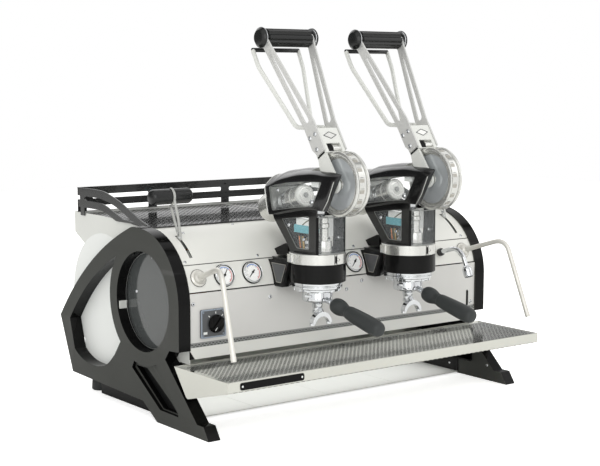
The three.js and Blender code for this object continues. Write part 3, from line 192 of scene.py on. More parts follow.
DIAL = look("dial_white", (252, 252, 251), 0.5, spec=0.2, scale=300, tint=0.005, bump=0.01)
RED = look("dial_red", (214, 108, 112), 0.5, scale=300, tint=0.02)
BLUE = look("dial_blue", (96, 140, 214), 0.5, scale=300, tint=0.02)
COPPER = look("copper_pipe", (196, 132, 92), 0.25, metal=1, scale=60, tint=0.12, bump=0.06)
BRASS = look("brass_fitting", (190, 160, 104), 0.28, metal=1, scale=80, tint=0.1, bump=0.06)
TEAL = look("valve_block", (104, 178, 190), 0.45, scale=200, tint=0.06, bump=0.08)
BARE = look("bare_plate", (150, 152, 150), 0.35, metal=0.7, scale=250, tint=0.06, bump=0.05)
SMOKE = look("window_disc", (78, 81, 81), 0.1, coat=0.4, scale=10, tint=0.03, spread=0.02, bump=0.01,
             alpha=0.92)
BEVEL = look("blue_grey_frame", (150, 160, 172), 0.3, metal=0.5, scale=120, tint=0.04, bump=0.03)
PANE = look("thin_pane", (225, 230, 232), 0.03, coat=0.2, spec=0.35, scale=10, tint=0.02, spread=0.01,
            bump=0.01, alpha=0.07)
OLIVE = look("olive_rod", (96, 96, 74), 0.4, metal=0.3, scale=120, tint=0.08, bump=0.05)
WARM = look("warm_grey", (176, 173, 165), 0.3, metal=0.4, scale=300, tint=0.04, bump=0.02)
SMOKY = look("glassy_grey", (186, 190, 193), 0.12, metal=0.4, scale=40, tint=0.04, spread=0.03, bump=0.01)
BLADE = look("blade_satin", (208, 208, 206), 0.4, metal=0.2, scale=700, stretch=(1, 5, 0.4), tint=0.015,
             spread=0.03, bump=0.01)
LENS = look("dial_lens", (245, 245, 245), 0.04, spec=0.3, scale=10, tint=0.02, spread=0.01, bump=0.01,
            alpha=0.02)


# Forms: spots and faces in millimetres
class Form:
    def __init__(self):
        self.spots, self.faces, self.marks = [], [], []

    def add(self, part, mark=0, move=None):
        spots, faces = part
        start = len(self.spots)
        self.spots += [move @ Vector(s) if move else Vector(s) for s in spots]
        self.faces += [tuple(start + i for i in face) for face in faces]
        self.marks += [mark] * len(faces)
        return self


AXES = {"x": lambda u, v, t: (t, u, v), "y": lambda u, v, t: (u, t, v), "z": lambda u, v, t: (u, v, t)}


def prism(loops, axis, a, b):
    """A flat shape pushed along an axis. The first loop is the outline and the others are holes."""
    place = AXES[axis]
    flat = [p for loop in loops for p in loop]
    spots = [place(*p, a) for p in flat] + [place(*p, b) for p in flat]
    n = len(flat)
    faces = []
    start = 0
    for loop in loops:
        k = len(loop)
        faces += [(start + i, start + (i + 1) % k, n + start + (i + 1) % k, n + start + i) for i in range(k)]
        start += k
    if len(loops) == 1:
        caps = [tuple(range(n))]
    else:
        caps = tessellate_polygon([[Vector((u, v, 0)) for u, v in loop] for loop in loops])
    faces += [tuple(c) for c in caps] + [tuple(n + i for i in reversed(c)) for c in caps]
    return spots, faces


def slab(x, y, z):
    """A block between three pairs of numbers."""
    return prism([[(x[0], y[0]), (x[1], y[0]), (x[1], y[1]), (x[0], y[1])]], "z", *z)


def ring(u, v, r, n=64, start=0, end=360):
    turn = end - start
    count = n if turn == 360 else n + 1
    return [(u + r * math.cos((start + turn * i / n) * RAD), v + r * math.sin((start + turn * i / n) * RAD))
            for i in range(count)]


def rounded(points, radius, steps=5):
    """A closed outline with its corners rounded. radius is one number or one for each corner."""
    made = []
    n = len(points)
    radii = radius if isinstance(radius, (list, tuple)) else [radius] * n
    for i, r in enumerate(radii):
        p, q, s = Vector(points[i - 1]), Vector(points[i]), Vector(points[(i + 1) % n])
        back, on = (p - q), (s - q)
        cut = min(r, back.length * 0.49, on.length * 0.49)
        a, b = q + back.normalized() * cut, q + on.normalized() * cut
        if cut < 0.05:
            made.append(tuple(q))
            continue
        for k in range(steps + 1):
            t = k / steps
            made.append(tuple(a * (1 - t) ** 2 + q * 2 * t * (1 - t) + b * t * t))
    return made


def smooth_line(points, steps=8):
    """A Catmull-Rom line through the points."""
    pts = [Vector(p) for p in points]
    pts = [pts[0] * 2 - pts[1]] + pts + [pts[-1] * 2 - pts[-2]]
    made = []
    for i in range(1, len(pts) - 2):
        a, b, c, d = pts[i - 1:i + 3]
        for k in range(steps):
            t = k / steps
            made.append(tuple(0.5 * (2 * b + (c - a) * t + (2 * a - 5 * b + 4 * c - d) * t * t
                                     + (3 * b - 3 * c + d - a) * t ** 3)))
    return made + [tuple(pts[-2])]


def bulged(a, b, height, steps=16):
    """Points of a shallow arc from a to b that stands off its chord to the left."""
    a, b = Vector(a), Vector(b)
    across = Vector((-(b - a).y, (b - a).x)).normalized()
    return [tuple(a.lerp(b, k / steps) + across * height * 4 * (k / steps) * (1 - k / steps)) for k in range(steps + 1)]


def turned(profile, start=(0, 0, 0), along=(0, 0, 1), sides=64, closed=False):
    """A profile of radius and height turned about a line."""
    turn = Vector((0, 0, 1)).rotation_difference(Vector(along))
    spots, faces, rings = [], [], []
    for r, h in profile:
        if r < 0.001:
            rings.append([len(spots)] * sides)
            spots.append((0, 0, h))
        else:
            rings.append([len(spots) + i for i in range(sides)])
            spots += [(r * math.cos(2 * math.pi * i / sides), r * math.sin(2 * math.pi * i / sides), h)
                      for i in range(sides)]
    pairs = list(zip(rings, rings[1:] + rings[:1])) if closed else list(zip(rings, rings[1:]))
    for low, high in pairs:
        for i in range(sides):
            j = (i + 1) % sides
            face = [low[i], low[j], high[j], high[i]]
            faces.append(tuple(dict.fromkeys(face)))
    if not closed:
        for end in (rings[0], rings[-1]):
            if end[0] != end[1]:
                faces.append(tuple(end))
    return [turn @ Vector(s) + Vector(start) for s in spots], [f for f in faces if len(f) > 2]


def route(corners, bend, steps=8):
    """A line through the corners, with each one rounded."""
    pts = [Vector(c) for c in corners]
    made = [pts[0]]
    for i in range(1, len(pts) - 1):
        back, on = pts[i - 1] - pts[i], pts[i + 1] - pts[i]
        cut = min(bend, back.length * 0.48, on.length * 0.48)
        a, b = pts[i] + back.normalized() * cut, pts[i] + on.normalized() * cut
        made += [a * (1 - t) ** 2 + pts[i] * 2 * t * (1 - t) + b * t * t for t in (k / steps for k in range(steps + 1))]
    return made + [pts[-1]]


def swept(points, section, across=(1, 1, 1)):
    """A flat section carried along a line. Its first axis starts along across."""
    side = Vector(across)
    spots, faces = [], []
    n = len(section)
    for i, p in enumerate(points):
        along = (Vector(points[min(i + 1, len(points) - 1)]) - Vector(points[max(i - 1, 0)])).normalized()
        side = (side - along * side.dot(along)).normalized()
        up = along.cross(side)
        spots += [Vector(p) + side * u + up * v for u, v in section]
    for i in range(len(points) - 1):
        faces += [(i * n + k, i * n + (k + 1) % n, (i + 1) * n + (k + 1) % n,
                   (i + 1) * n + k) for k in range(n)]
    faces += [tuple(range(n)), tuple(reversed(range(len(spots) - n, len(spots))))]
    return spots, faces


def tube(corners, radius, bend=10, sides=24):
    """A round bar along corners."""
    return swept(route(corners, bend), ring(0, 0, radius, sides))


def frame_matrix(origin, a, b, c):
    return Matrix.Translation(Vector(origin)) @ Matrix((a, b, c)).transposed().to_4x4()


def on_curve(x, angle=INSTRUMENT, radius=BODY_R):
    """The frame of a place on the front curve: its axes are +X, up the panel and outward."""
    out = Vector((0, math.cos(angle), math.sin(angle)))
    up = Vector((0, math.sin(angle), -math.cos(angle)))
    spot = Vector((x, BODY[0], BODY[1])) + out * radius
    return frame_matrix(spot, (1, 0, 0), up, out)


def screw(form, place, radius=4, mark=0, dark=1):
    """A domed screw with a socket. place is a frame whose third axis leaves the surface."""
    h = radius * 0.55
    form.add(turned([(0, h * 0.3), (radius * 0.4, h * 0.3), (radius * 0.42, h), (radius * 0.75, h * 0.85),
                     (radius, h * 0.25), (radius, -0.4)], sides=24), mark, place)
    form.add(turned([(0, h * 0.35), (radius * 0.38, h * 0.35)], sides=6), dark, place)


def facing(x, y, z, out):
    """A frame at a point whose third axis is out."""
    out = Vector(out).normalized()
    side = Vector((0, 0, 1)).cross(out)
    side = side.normalized() if side.length > 0.1 else Vector((1, 0, 0))
    return frame_matrix((x, y, z), side, out.cross(side), out)


def make(name, form, body, materials, replaces=(), bevel=0, steps=2, angle=32):
    """A piece of the model from a form, riding on a body."""
    mesh = bpy.data.meshes.new(name)
    mesh.from_pydata([at(*s) for s in form.spots], [], form.faces)
    mesh.update()
    mesh.polygons.foreach_set("material_index", form.marks)
    for material in materials if isinstance(materials, (list, tuple)) else [materials]:
        mesh.materials.append(material)
    work = bmesh.new()
    work.from_mesh(mesh)
    bmesh.ops.remove_doubles(work, verts=work.verts, dist=1e-6)
    bmesh.ops.recalc_face_normals(work, faces=work.faces)
    work.to_mesh(mesh)
    work.free()
    mesh.shade_smooth()
    mesh.set_sharp_from_angle(angle=angle * RAD)
    piece = bpy.data.objects.new(name, mesh)
    bpy.context.scene.collection.objects.link(piece)
    if bevel:
        edge = piece.modifiers.new("edge", "BEVEL")
        edge.width = bevel / 1000
        edge.segments = steps
        edge.limit_method = "ANGLE"
        edge.angle_limit = 40 * RAD
        edge.harden_normals = True
        edge.use_clamp_overlap = True
    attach(piece, body)
    for node in [replaces] if isinstance(replaces, str) else replaces:
        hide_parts(node)
    return piece


def carve(piece, cutters, angle=32):
    """Cuts forms out of a piece and leaves no modifier or cutter behind."""
    tools = []
    for cutter in cutters:
        mesh = bpy.data.meshes.new("cutter")
        mesh.from_pydata([at(*s) for s in cutter.spots], [], cutter.faces)
        work = bmesh.new()
        work.from_mesh(mesh)
        bmesh.ops.recalc_face_normals(work, faces=work.faces)
        work.to_mesh(mesh)
        work.free()
        for material in piece.data.materials:
            mesh.materials.append(material)
        mesh.polygons.foreach_set("material_index", cutter.marks)
        tool = bpy.data.objects.new("cutter", mesh)
        bpy.context.scene.collection.objects.link(tool)
        cut = piece.modifiers.new("cut", "BOOLEAN")
        cut.operation = "DIFFERENCE"
        cut.solver = "EXACT"
        cut.object = tool
        tools.append(tool)
    bpy.context.view_layer.update()
    graph = bpy.context.evaluated_depsgraph_get()
    mesh = bpy.data.meshes.new_from_object(piece.evaluated_get(graph))
    piece.modifiers.clear()
    piece.data = mesh
    mesh.shade_smooth()
    mesh.set_sharp_from_angle(angle=angle * RAD)
    for tool in tools:
        bpy.data.objects.remove(tool)


def span(side, a, b):
    """The stretch of X from a to b on one side of the machine."""
    return sorted((side * a, side * b))


def beside(x, side, a, b):
    """The stretch of X from a to b on one side of a group's middle."""
    return sorted((x + side * a, x + side * b))


# Side panels
def panel_outline():
    points = [(0, 0), (21, 31), (48, 31), (186.5, 161), (168, 184.5), (125, 187.5)]
    points += ring(*BODY, 176, 70, 180, 90)
    points += bulged((339, 465), (719, 193.5), 32, 40)
    points += [(654, 49), (291, 40), (226, 0)]
    return points


def opening_outline():
    arc = ring(*WINDOW, 158.2, 40, 39, -47)
    top = bulged(arc[0], (666, 190.7), 20, 30)
    low = [(641, 112.7), (617, 99.5), (582, 88.6), (540, 85.5), (503, 88.7), (466, 101.8), (430, 131)]
    return top + smooth_line(low, 4) + arc[:0:-1]


def side_panel(name, side):
    body = Form()
    outline, opening = panel_outline(), opening_outline()
    window = ring(*WINDOW, WINDOW_R, 96)
    pocket = ring(*WINDOW, 158.2, 14, -113.5, -75) + [(342, 115), (211, 33), (130, 32), (130, 42), (135, 46)]
    deep = [(337, 121), (283, 122), (174, 58), (146, 36), (208, 36)]
    shell = prism([outline, window, opening], "x", side * INNER, side * OUTER)
    walls = len(outline) + len(window) + len(opening)
    body.add((shell[0], shell[1][:walls]), 1)
    body.add((shell[0], [f for f in shell[1][walls:] if abs(shell[0][f[0]][0]) < OUTER - 1]))
    face = prism([outline, window, opening, pocket], "x", side * (OUTER - 1), side * OUTER)
    skip = walls + len(pocket)
    body.add((face[0], [f for f in face[1][skip:] if abs(face[0][f[0]][0]) > OUTER - 0.5]))
    recess = prism([pocket, deep], "x", side * (OUTER - 9), side * OUTER)
    k = len(pocket)
    body.add((recess[0], recess[1][:k]), 1)
    body.add((recess[0], [f for f in recess[1][k + len(deep):] if abs(recess[0][f[0]][0]) < OUTER - 5]))
    pit = prism([deep], "x", side * (OUTER - 22), side * (OUTER - 9))
    body.add((pit[0], pit[1][:len(deep)]), 1)
    body.add((pit[0], [f for f in pit[1][len(deep):] if abs(pit[0][f[0]][0]) < OUTER - 20]), 2)
    make(f"{name}_panel_plate", body, "machine", [SLATE, GLOSS, PIT], f"{name}_side_panel", bevel=1.2)
    disc = Form()
    disc.add(turned([(0, 0), (121.5, 0), (122.6, 0.8), (122.6, 3.2), (121.5, 4), (0, 4)],
                    (side * (INNER + 0.2), *WINDOW), (side, 0, 0), 96))
    make(f"{name}_window_disc", disc, "machine", SMOKE, f"{name}_window")
    trim = Form()
    trim.add(turned([(117, 0), (118.2, 0), (118.2, 0.8), (117, 0.8)], (side * (INNER + 9), *WINDOW),
                    (side, 0, 0), 96, closed=True), 2)
    for y, z, r in ((365, 300, 4.6), (197, 292, 4.6), (290, 393, 3)):
        screw(trim, facing(side * (INNER + 4.2), y, z, (side, 0, 0)), r)
    edge = math.sqrt((WINDOW_R - 1) ** 2 - 24 ** 2)
    for depth, wide in ((14, 13), (24, 9)):
        clip = rounded([(-1, -10), (3, -10), (3, 10), (-1, 10)], 1)
        trim.add(prism([[(WINDOW[0] + edge - 3 + u, WINDOW[1] - 24 + v) for u, v in clip]], "x",
                       *span(side, INNER + depth - wide / 2, INNER + depth + wide / 2)), 3)
    make(f"{name}_window_trim", trim, "machine", [CHROME, PIT, BARE, PALE], bevel=0.3)


for name, side in SIDES.items():
    side_panel(name, side)


def shrunk(points, by):
    """The outline drawn towards its middle by a length."""
    middle = sum((Vector(p) for p in points), Vector((0, 0))) / len(points)
    return [tuple(Vector(p).lerp(middle, by / max((Vector(p) - middle).length, 1))) for p in points]


# Feet
for name, side in SIDES.items():
    foot = Form()
    foot.add(turned([(0, 0), (21, 0), (23.5, 1.5), (24, 4), (23, 26), (21, 29), (17, 31), (0, 31)],
                    (side * 438, 614, 0), sides=48))
    foot.add(turned([(0, 31), (15, 31), (15, 41.8), (0, 41.8)], (side * 438, 614, 0), sides=6), 1)
    make(f"{name}_foot_pad", foot, "machine", [RUBBER, SATIN], f"{name}_rear_foot", bevel=0.4)

# Boilers and pipes behind the windows
boiler = Form()
boiler.add(turned([(0, -330), (30, -329), (58, -320), (76, -308), (80, -300), (80, 300), (76, 308), (58, 320),
                   (24, 329), (24, 329.8), (0, 329.8)], (0, *BOILER), (1, 0, 0), 72))
for x in (-300, -120, 120, 300):
    boiler.add(turned([(80.2, -6), (81.5, -5), (81.5, 5), (80.2, 6)], (x, *BOILER), (1, 0, 0), 72,
                      closed=True), 1)
make("boiler_shell", boiler, "machine", [SATIN, CHROME], "steam_boiler")
service = Form()
for side in SIDES.values():
    for y, z, top in ((232, 300, 372), (252, 340, 374), (292, 356, 402), (352, 352, 396)):
        service.add(tube([(side * 352, y, z), (side * 440, y, z), (side * 440, y + 18, top),
                          (side * 300, y + 30, top)],
                         5, 16), 0)
        service.add(turned([(0, 0), (9, 0), (9, 12), (0, 12)], (side * 424, y, z), (side, 0, 0), 6), 1)
    service.add(turned([(0, 0), (22, 0), (22, 20), (14, 24), (0, 24)], (side * 420, 258, 364), (side, 0, 0),
                       32), 1)
    service.add(turned([(0, 0), (16, 0), (16, 30), (0, 30)], (side * 418, 232, 318), (side, 0, 0), 24), 0)
    service.add(turned([(0, 0), (26, 0), (26, 12), (20, 15), (0, 15)], (side * 430, 352, 300), (side, 0, 0),
                       32), 2)
    service.add(slab(span(side, 398, 440), (262, 322), (186, 214)), 2)
make("service_pipes", service, "machine", [COPPER, BRASS, PALE], bevel=0.6)

# Chassis: a pale pan low between the legs, black runners beside it and the deck of the boiler
def chassis():
    pan = Form()
    pan.add(slab((-466.4, 466.4), (187, 560), (3, 5.5)))
    pan.add(slab((-466.4, 466.4), (557.5, 560), (3, 45.8)))
    pan.add(slab((-466.4, 466.4), (557.5, 643.2), (42.3, 45.8)))
    for x in (-230, 0, 230):
        pan.add(slab((x - 4, x + 4), (190, 557), (5.3, 6.1)))
    pan.add(slab((-463.6, 463.6), (260, 380), (100, 103.5)), 1)
    for side in SIDES.values():
        pan.add(slab(span(side, 464.2, 466.7), (187, 560), (3, 45.8)), 2)
        pan.add(slab(span(side, 461.1, 466.7), (187, 560), (42.3, 45.8)), 2)
        pan.add(slab(span(side, 461.1, 463.6), (134, 643.2), (42.3, 103.5)), 2)
        liner = [(134, 46.2), (330, 46.2), (330, 150), (147.4, 150), (134, 133.2)]
        pan.add(prism([liner], "x", *span(side, 461.1, 463.7)), 2)
        saddle = ring(*BOILER, 80.3, 24, 220, 320)
        saddle = [(260, 222)] + [p for p in saddle if p[1] < 222] + [(380, 222), (380, 100), (260, 100)]
        pan.add(prism([saddle], "x", side * 250 - 2.5, side * 250 + 2.5), 1)
    make("chassis_pan", pan, "machine", [PALE, SATIN, GLOSS], "base_frame", bevel=0.4)
    bolts = Form()
    for side in SIDES.values():
        screw(bolts, facing(side * 466.9, 73.6, 42, (-side, 0, 0)), 4)
        for y in (220, 330, 450):
            screw(bolts, facing(side * 464.2, y, 24, (-side, 0, 0)), 3)
    make("chassis_bolts", bolts, "machine", [CHROME, PIT])


chassis()


# Casing: pale skins, round white covers and the round rear wall
def casing():
    front = ring(*BODY, 169.2, 30, 180, 90)
    foot = -math.acos((646 - REAR[0]) / REAR_R) / RAD
    rear = ring(*REAR, REAR_R, 48, 51.5, foot)
    outline = [(131.8, 152.6)] + front + [(386, 463), (440, 469), (548, 472), (695, 472), (695, 418.2)] + rear
    outline += [(646, 46.1), (420, 46.1), (420, 152.6)]
    low = [(131.8, 46.1), (420, 46.1), (420, 152.6), (147.4, 152.6), (131.8, 133)]
    port = ring(*WINDOW, 112, 72)
    skin = Form()
    for side in SIDES.values():
        skin.add(prism([outline, port], "x", *span(side, CASE_X, 465.4)))
        skin.add(prism([low], "x", *span(side, CASE_X, 465.4)), 2)
        cover = ring(*REAR, 165.2, 72, 112, foot) + [(645.8, 46.2), (421, 46.2), (410, 245), (455, 385)]
        skin.add(prism([cover], "x", *span(side, 465.4, 466.5)), 1)
        skin.add(slab(span(side, 455, 464), (301, 694), (459.2, 461.7)))
    inner = ring(*REAR, 162.9, 48, 51.5, foot)
    skin.add(prism([rear + inner[::-1]], "x", -CASE_X, CASE_X), 1)
    skin.add(prism([[(695, 472), (695, 418.2), (642.3, 390.9), (641, 393), (692.5, 419.6), (692.5, 472)]],
                   "x", -CASE_X, CASE_X))
    skin.add(slab((-CASE_X, CASE_X), (643.5, 646), (46.2, 136)), 1)
    make("case_skin", skin, "machine", [PALE, WHITE, GLOSS], "body_case", bevel=0.25)
    details = Form()
    for x in (-430, -215, 0, 215, 430):
        for angle in (40, -40):
            out = Vector((0, math.cos(angle * RAD), math.sin(angle * RAD)))
            screw(details, facing(*(Vector((x, *REAR)) + out * REAR_R), out), 3.2)
        screw(details, facing(x, 695, 448, (0, 1, 0)), 3.2)
        screw(details, facing(x, 646, 70, (0, 1, 0)), 3.2)
    for middle in (-300, 300):
        for row in range(9):
            angle = (20 - row * 4) * RAD
            out = Vector((0, math.cos(angle), math.sin(angle)))
            up = Vector((0, -math.sin(angle), math.cos(angle)))
            place = frame_matrix(Vector((middle, *REAR)) + out * 165, (1, 0, 0), up, out)
            louvre = rounded([(-70, -2), (70, -2), (70, 2), (-70, 2)], 1.9)
            details.add(prism([louvre], "z", 0, 0.9), 1, place)
    make("case_screws", details, "machine", [CHROME, PIT])


casing()


# Front panels
def splash():
    plate = Form()
    hole = ring(-396, 246, 4.5, 24)
    plate.add(prism([[(-FRONT_X, 204.4), (FRONT_X, 204.4), (FRONT_X, 322), (-FRONT_X, 322)], hole], "y",
                    129.1, 131.5))
    plate.add(slab((-FRONT_X, FRONT_X), (129.8, 131.5), (199.4, 204.6)), 2)
    low = [(-452, 165), (452, 165), (FRONT_X, 187), (FRONT_X, 199.6), (-FRONT_X, 199.6), (-FRONT_X, 187)]
    plate.add(prism([low], "y", 129.1, 131.5), 1)
    plate.add(slab((-464, 464), (128.8, 129.3), (193, 202)), 2)
    for k in range(-46, 47):
        plate.add(slab((k * 10 - 3.6, k * 10 + 2.6), (128.6, 128.9), (198.6, 200.4)), 3)
        plate.add(slab((k * 10 + 1.4, k * 10 + 7.6), (128.6, 128.9), (194.6, 196.4)), 3)
    for side in SIDES.values():
        plate.add(prism([[(side * 452, 165), (side * FRONT_X, 165), (side * FRONT_X, 187)]], "y", 130.4,
                        131.5), 3)
    make("splash_sheet", plate, "machine", [SPLASH, FRONT, BARE, PIT], "splash_panel", bevel=0.3)
    trim = Form()
    spots = [(-457, 297.5), (-233, 294), (10, 290.5), (60, 308), (240, 300), (452, 300), (452, 214)]
    for x, z in spots:
        screw(trim, facing(x, 129, z, (0, -1, 0)), 5.2)
    slit = rounded([(435.6, 206), (440, 203), (443.4, 207), (443.4, 244), (439.4, 249), (435.6, 245)], 2)
    trim.add(prism([slit], "y", 128.6, 129.2), 1)
    make("splash_screws", trim, "machine", [CHROME, PIT], bevel=0.2)


splash()


def curved_sheet(start, end, x0=-FRONT_X, x1=FRONT_X, inset=0.0):
    outer = ring(*BODY, BODY_R - inset, 44, start, end)
    inner = ring(*BODY, BODY_R - inset - 2.4, 44, start, end)
    return prism([outer + inner[::-1]], "x", x0, x1)


def curved_panels():
    gauge = Form().add(curved_sheet(168.0, 145.9))
    piece = make("gauge_sheet", gauge, "machine", FRONT, "gauge_panel")
    holes = []
    for x, r in ((-360.3, 21.2), (-277.9, 21.2), (44.7, 21.2), (-433, 16), (433, 16), (345, 5.4)):
        holes.append(Form().add(turned([(0, -14), (r, -14), (r, 12), (0, 12)], sides=40), 0, on_curve(x)))
    carve(piece, holes)
    upper = Form().add(curved_sheet(145.1, 90))
    piece = make("upper_sheet", upper, "machine", [FRONT, PIT], "upper_panel")
    cuts = []
    for side in SIDES.values():
        band = ring(*BODY, BODY_R + 5, 24, 112, 139) + ring(*BODY, BODY_R - 8, 24, 139, 112)
        cuts.append(Form().add(prism([band], "x", side * STEAM_X - 4.2, side * STEAM_X + 4.2), 1))
    carve(piece, cuts)
    seams = Form()
    seams.add(curved_sheet(168.6, 167.9, -466.4, 466.4, 1.2))
    seams.add(curved_sheet(145.95, 145.0, -466.4, 466.4, 1.2))
    make("panel_seams", seams, "machine", PIT)
    ears = Form()
    for side in SIDES.values():
        for edge in (4.3, 7.3):
            ear = [(262, 389), (271, 398), (262, 412), (236, 447), (196, 423), (253, 398)]
            x = side * STEAM_X
            ears.add(prism([rounded(ear, 4)], "x",
                           *((x + edge, x + edge + 3) if edge < 5 else (x - edge, x - edge + 3))))
        ears.add(turned([(0, 0), (4, 0), (4, 17), (0, 17)], (side * STEAM_X - 8.5, 262, 398), (1, 0, 0), 24))
    make("steam_lever_ears", ears, "machine", SATIN, bevel=0.3)
    screws = Form()
    for x, angle in ((-409, 108.5), (-456, 142.5), (-246, 142.5), (409, 108.5), (446, 142.5), (20, 142.5),
                     (246, 142.5),
                     (-20, 97), (240, 97), (-240, 97), (60, 142.5)):
        screw(screws, on_curve(x, angle * RAD), 4)
    make("panel_screws", screws, "machine", [CHROME, PIT])


curved_panels()


# Cup tray and rail
def perforated(x, y, z, pitch, hole, stagger=0.5):
    """A sheet with rows of staggered holes, built cell by cell."""
    columns = int((x[1] - x[0]) / pitch[0])
    rows = int((y[1] - y[0]) / pitch[1])
    dx, dy = (x[1] - x[0]) / columns, (y[1] - y[0]) / rows
    spots, faces = [], []
    for row in range(rows):
        shift = (row % 2) * stagger * dx
        edges = [x[0]] + [x[0] + shift + dx * c for c in range(1 if not shift else 0, columns + 1)]
        edges = [e for e in edges if e < x[1] - 0.01] + [x[1]]
        v0, v1 = y[0] + row * dy, y[0] + (row + 1) * dy
        for u0, u1 in zip(edges, edges[1:]):
            if u1 - u0 < 0.1:
                continue
            start = len(spots)
            mu, mv = (u0 + u1) / 2, (v0 + v1) / 2
            hu, hv = hole[0] / 2, hole[1] / 2
            whole = u1 - u0 < hole[0] + 2
            outer = [(u0, v0), (u1, v0), (u1, v1), (u0, v1)]
            inner = [(mu - hu, mv - hv), (mu + hu, mv - hv), (mu + hu, mv + hv), (mu - hu, mv + hv)]
            if whole:
                spots += [(*p, z[1]) for p in outer] + [(*p, z[0]) for p in outer]
                faces += [(start, start + 1, start + 2, start + 3),
                          (start + 7, start + 6, start + 5, start + 4)]
                continue
            spots += [(*p, z[1]) for p in outer + inner] + [(*p, z[0]) for p in outer + inner]
            for k in range(4):
                n = (k + 1) % 4
                faces += [(start + k, start + n, start + 4 + n, start + 4 + k),
                          (start + 8 + n, start + 8 + k, start + 12 + k, start + 12 + n),
                          (start + 4 + k, start + 4 + n, start + 12 + n, start + 12 + k)]
    return spots, faces


def cup_shelf():
    shelf = Form()
    shelf.add(perforated((-462, 462), (303, 690), (462.4, 464.6), (15, 8.5), (10.5, 4.2)))
    shelf.add(prism([[(-463.6, 301.2), (463.6, 301.2), (463.6, 692), (-463.6, 692)],
                     [(-462, 303), (462, 303), (462, 690), (-462, 690)]], "z", 462, 464.9))
    make("cup_shelf", shelf, "machine", [SHEET], "cup_tray")
    seam = Form().add(slab((13, 17), (303, 690), (464.2, 464.95)))
    seam.add(slab((-454, 454), (306, 688), (457.6, 458.4)))
    make("shelf_seam", seam, "machine", [FRONT])


cup_shelf()


def rail():
    def place(shares):
        return [(304 + 366 * a, 465.6 + 72.4 * b) for a, b in shares]
    form = Form()
    top = smooth_line(place([(1, 1), (0.669, 1), (0.528, 0.89), (0.387, 0.696), (0.251, 0.434),
                             (0.119, 0.185), (0, 0.02)]), 6)
    under = smooth_line(place([(0.445, 0), (0.6, 0.24), (0.707, 0.296)]), 6)
    under += [(568, 487), (633, 487), (633, 465.6), (654, 465.6), (654, 487), (670, 487), (670, 506),
              (657, 506), (657, 517),
              (670, 517)]
    hole_low = smooth_line(place([(0.196, 0.07), (0.251, 0.145), (0.387, 0.407), (0.528, 0.6),
                                  (0.669, 0.71)]), 6)
    hole_high = smooth_line(place([(0.669, 0.545), (0.6, 0.503), (0.459, 0.282), (0.348, 0.112)]), 6)
    hole = hole_low + [(622, 517), (630, 514.5), (634, 511.5), (630, 508.5), (622, 506)] + hole_high
    for side in SIDES.values():
        form.add(prism([top + under, hole], "x", *span(side, 466.8, 469.6)))
    half = 469.6
    edge = [(half, 487), (half, 506), (half - 8, 506), (half - 8, 517), (half, 517), (half, 538)]
    back = [edge + [(-u, v) for u, v in reversed(edge)]]
    stops = [30 - half, -240, 0, 240, half - 30]
    for a, b in zip(stops, stops[1:]):
        back.append(rounded([(a + 13, 506), (b - 13, 506), (b - 13, 517), (a + 13, 517)], 5.4))
    form.add(prism(back, "y", 667.2, 669.8))
    posts = [13 - half, -240, 0, 240, half - 13]
    for middle in posts:
        form.add(slab((middle - 13, middle + 13), (667.2, 669.8), (472.4, 487.5)))
    make("rail_sheet", form, "machine", SHEET, "cup_rail", bevel=0.4)
    bolts = Form()
    for middle in posts:
        for z in (480, 527):
            screw(bolts, facing(middle, 670, z, (0, 1, 0)), 3.4)
            screw(bolts, facing(middle, 667, z, (0, -1, 0)), 3.4)
    make("rail_bolts", bolts, "machine", [SHEET, PIT])


rail()


# Drip tray and grille
def drip_tray():
    half = TRAY_X
    tray = Form()
    outer = rounded([(-79, 127), (-79, 152), (146, 152), (94, 87), (87, 83.9)], [3, 1, 1, 2, 2])
    for side in SIDES.values():
        tray.add(prism([outer], "x", *span(side, half - 2.4, half)))
        tray.add(slab(span(side, half - 8.6, half - 2.4), (-76, 125), (145, 147.2)))
    walls = [(-79, 152), (-79, 128.5), (-77.5, 126.8), (87, 84), (91, 84.6), (146, 152), (142.6, 152),
             (89.4, 88),
             (87, 86.8), (-76.4, 129.4), (-76.4, 152)]
    tray.add(prism([walls], "x", 2.4 - half, half - 2.4))
    tray.add(slab((2.6 - half, half - 2.6), (-76.2, 128), (146, 146.6)), 1)
    make("tray_pan", tray, "tray", [STEEL, PIT], "drip_tray", bevel=0.5)
    plate = Form()
    name = rounded([(-467, 131), (-286, 131), (-286, 148.5), (-467, 148.5)], 6)
    plate.add(prism([name], "y", -80.2, -78.9), 0)
    for x in (-460.5, -292.5):
        plate.add(turned([(0, 0), (2.6, 0), (2.2, 0.7), (0, 0.9)], (x, -80.1, 139.7), (0, -1, 0), 20), 1)
    for k in range(-30, 31):
        plate.add(slab((k * 16 - 5, k * 16 + 5), (-79.2, -78.8), (127.2, 128.3)), 2)
    make("tray_nameplate", plate, "tray", [GLOSS, WHITE, PIT], bevel=0.2)


drip_tray()


def grille():
    x = 497.5
    form = Form()
    form.add(perforated((-490, 490), (-70, 121), (148.4, 151.2), (12.6, 7.1), (9, 4)))
    rim = [[(-x, -76.2), (x, -76.2), (x, 127.6), (-x, 127.6)],
           [(-490, -70), (490, -70), (490, 121), (-490, 121)]]
    form.add(prism(rim, "z", 147.7, 151.5))
    for k in range(-4, 5):
        form.add(slab((k * 105 - 2, k * 105 + 2), (-70, 121), (147.7, 148.5)))
    make("grille_sheet", form, "grille", MIRROR, "drip_grille", bevel=0.25)


grille()


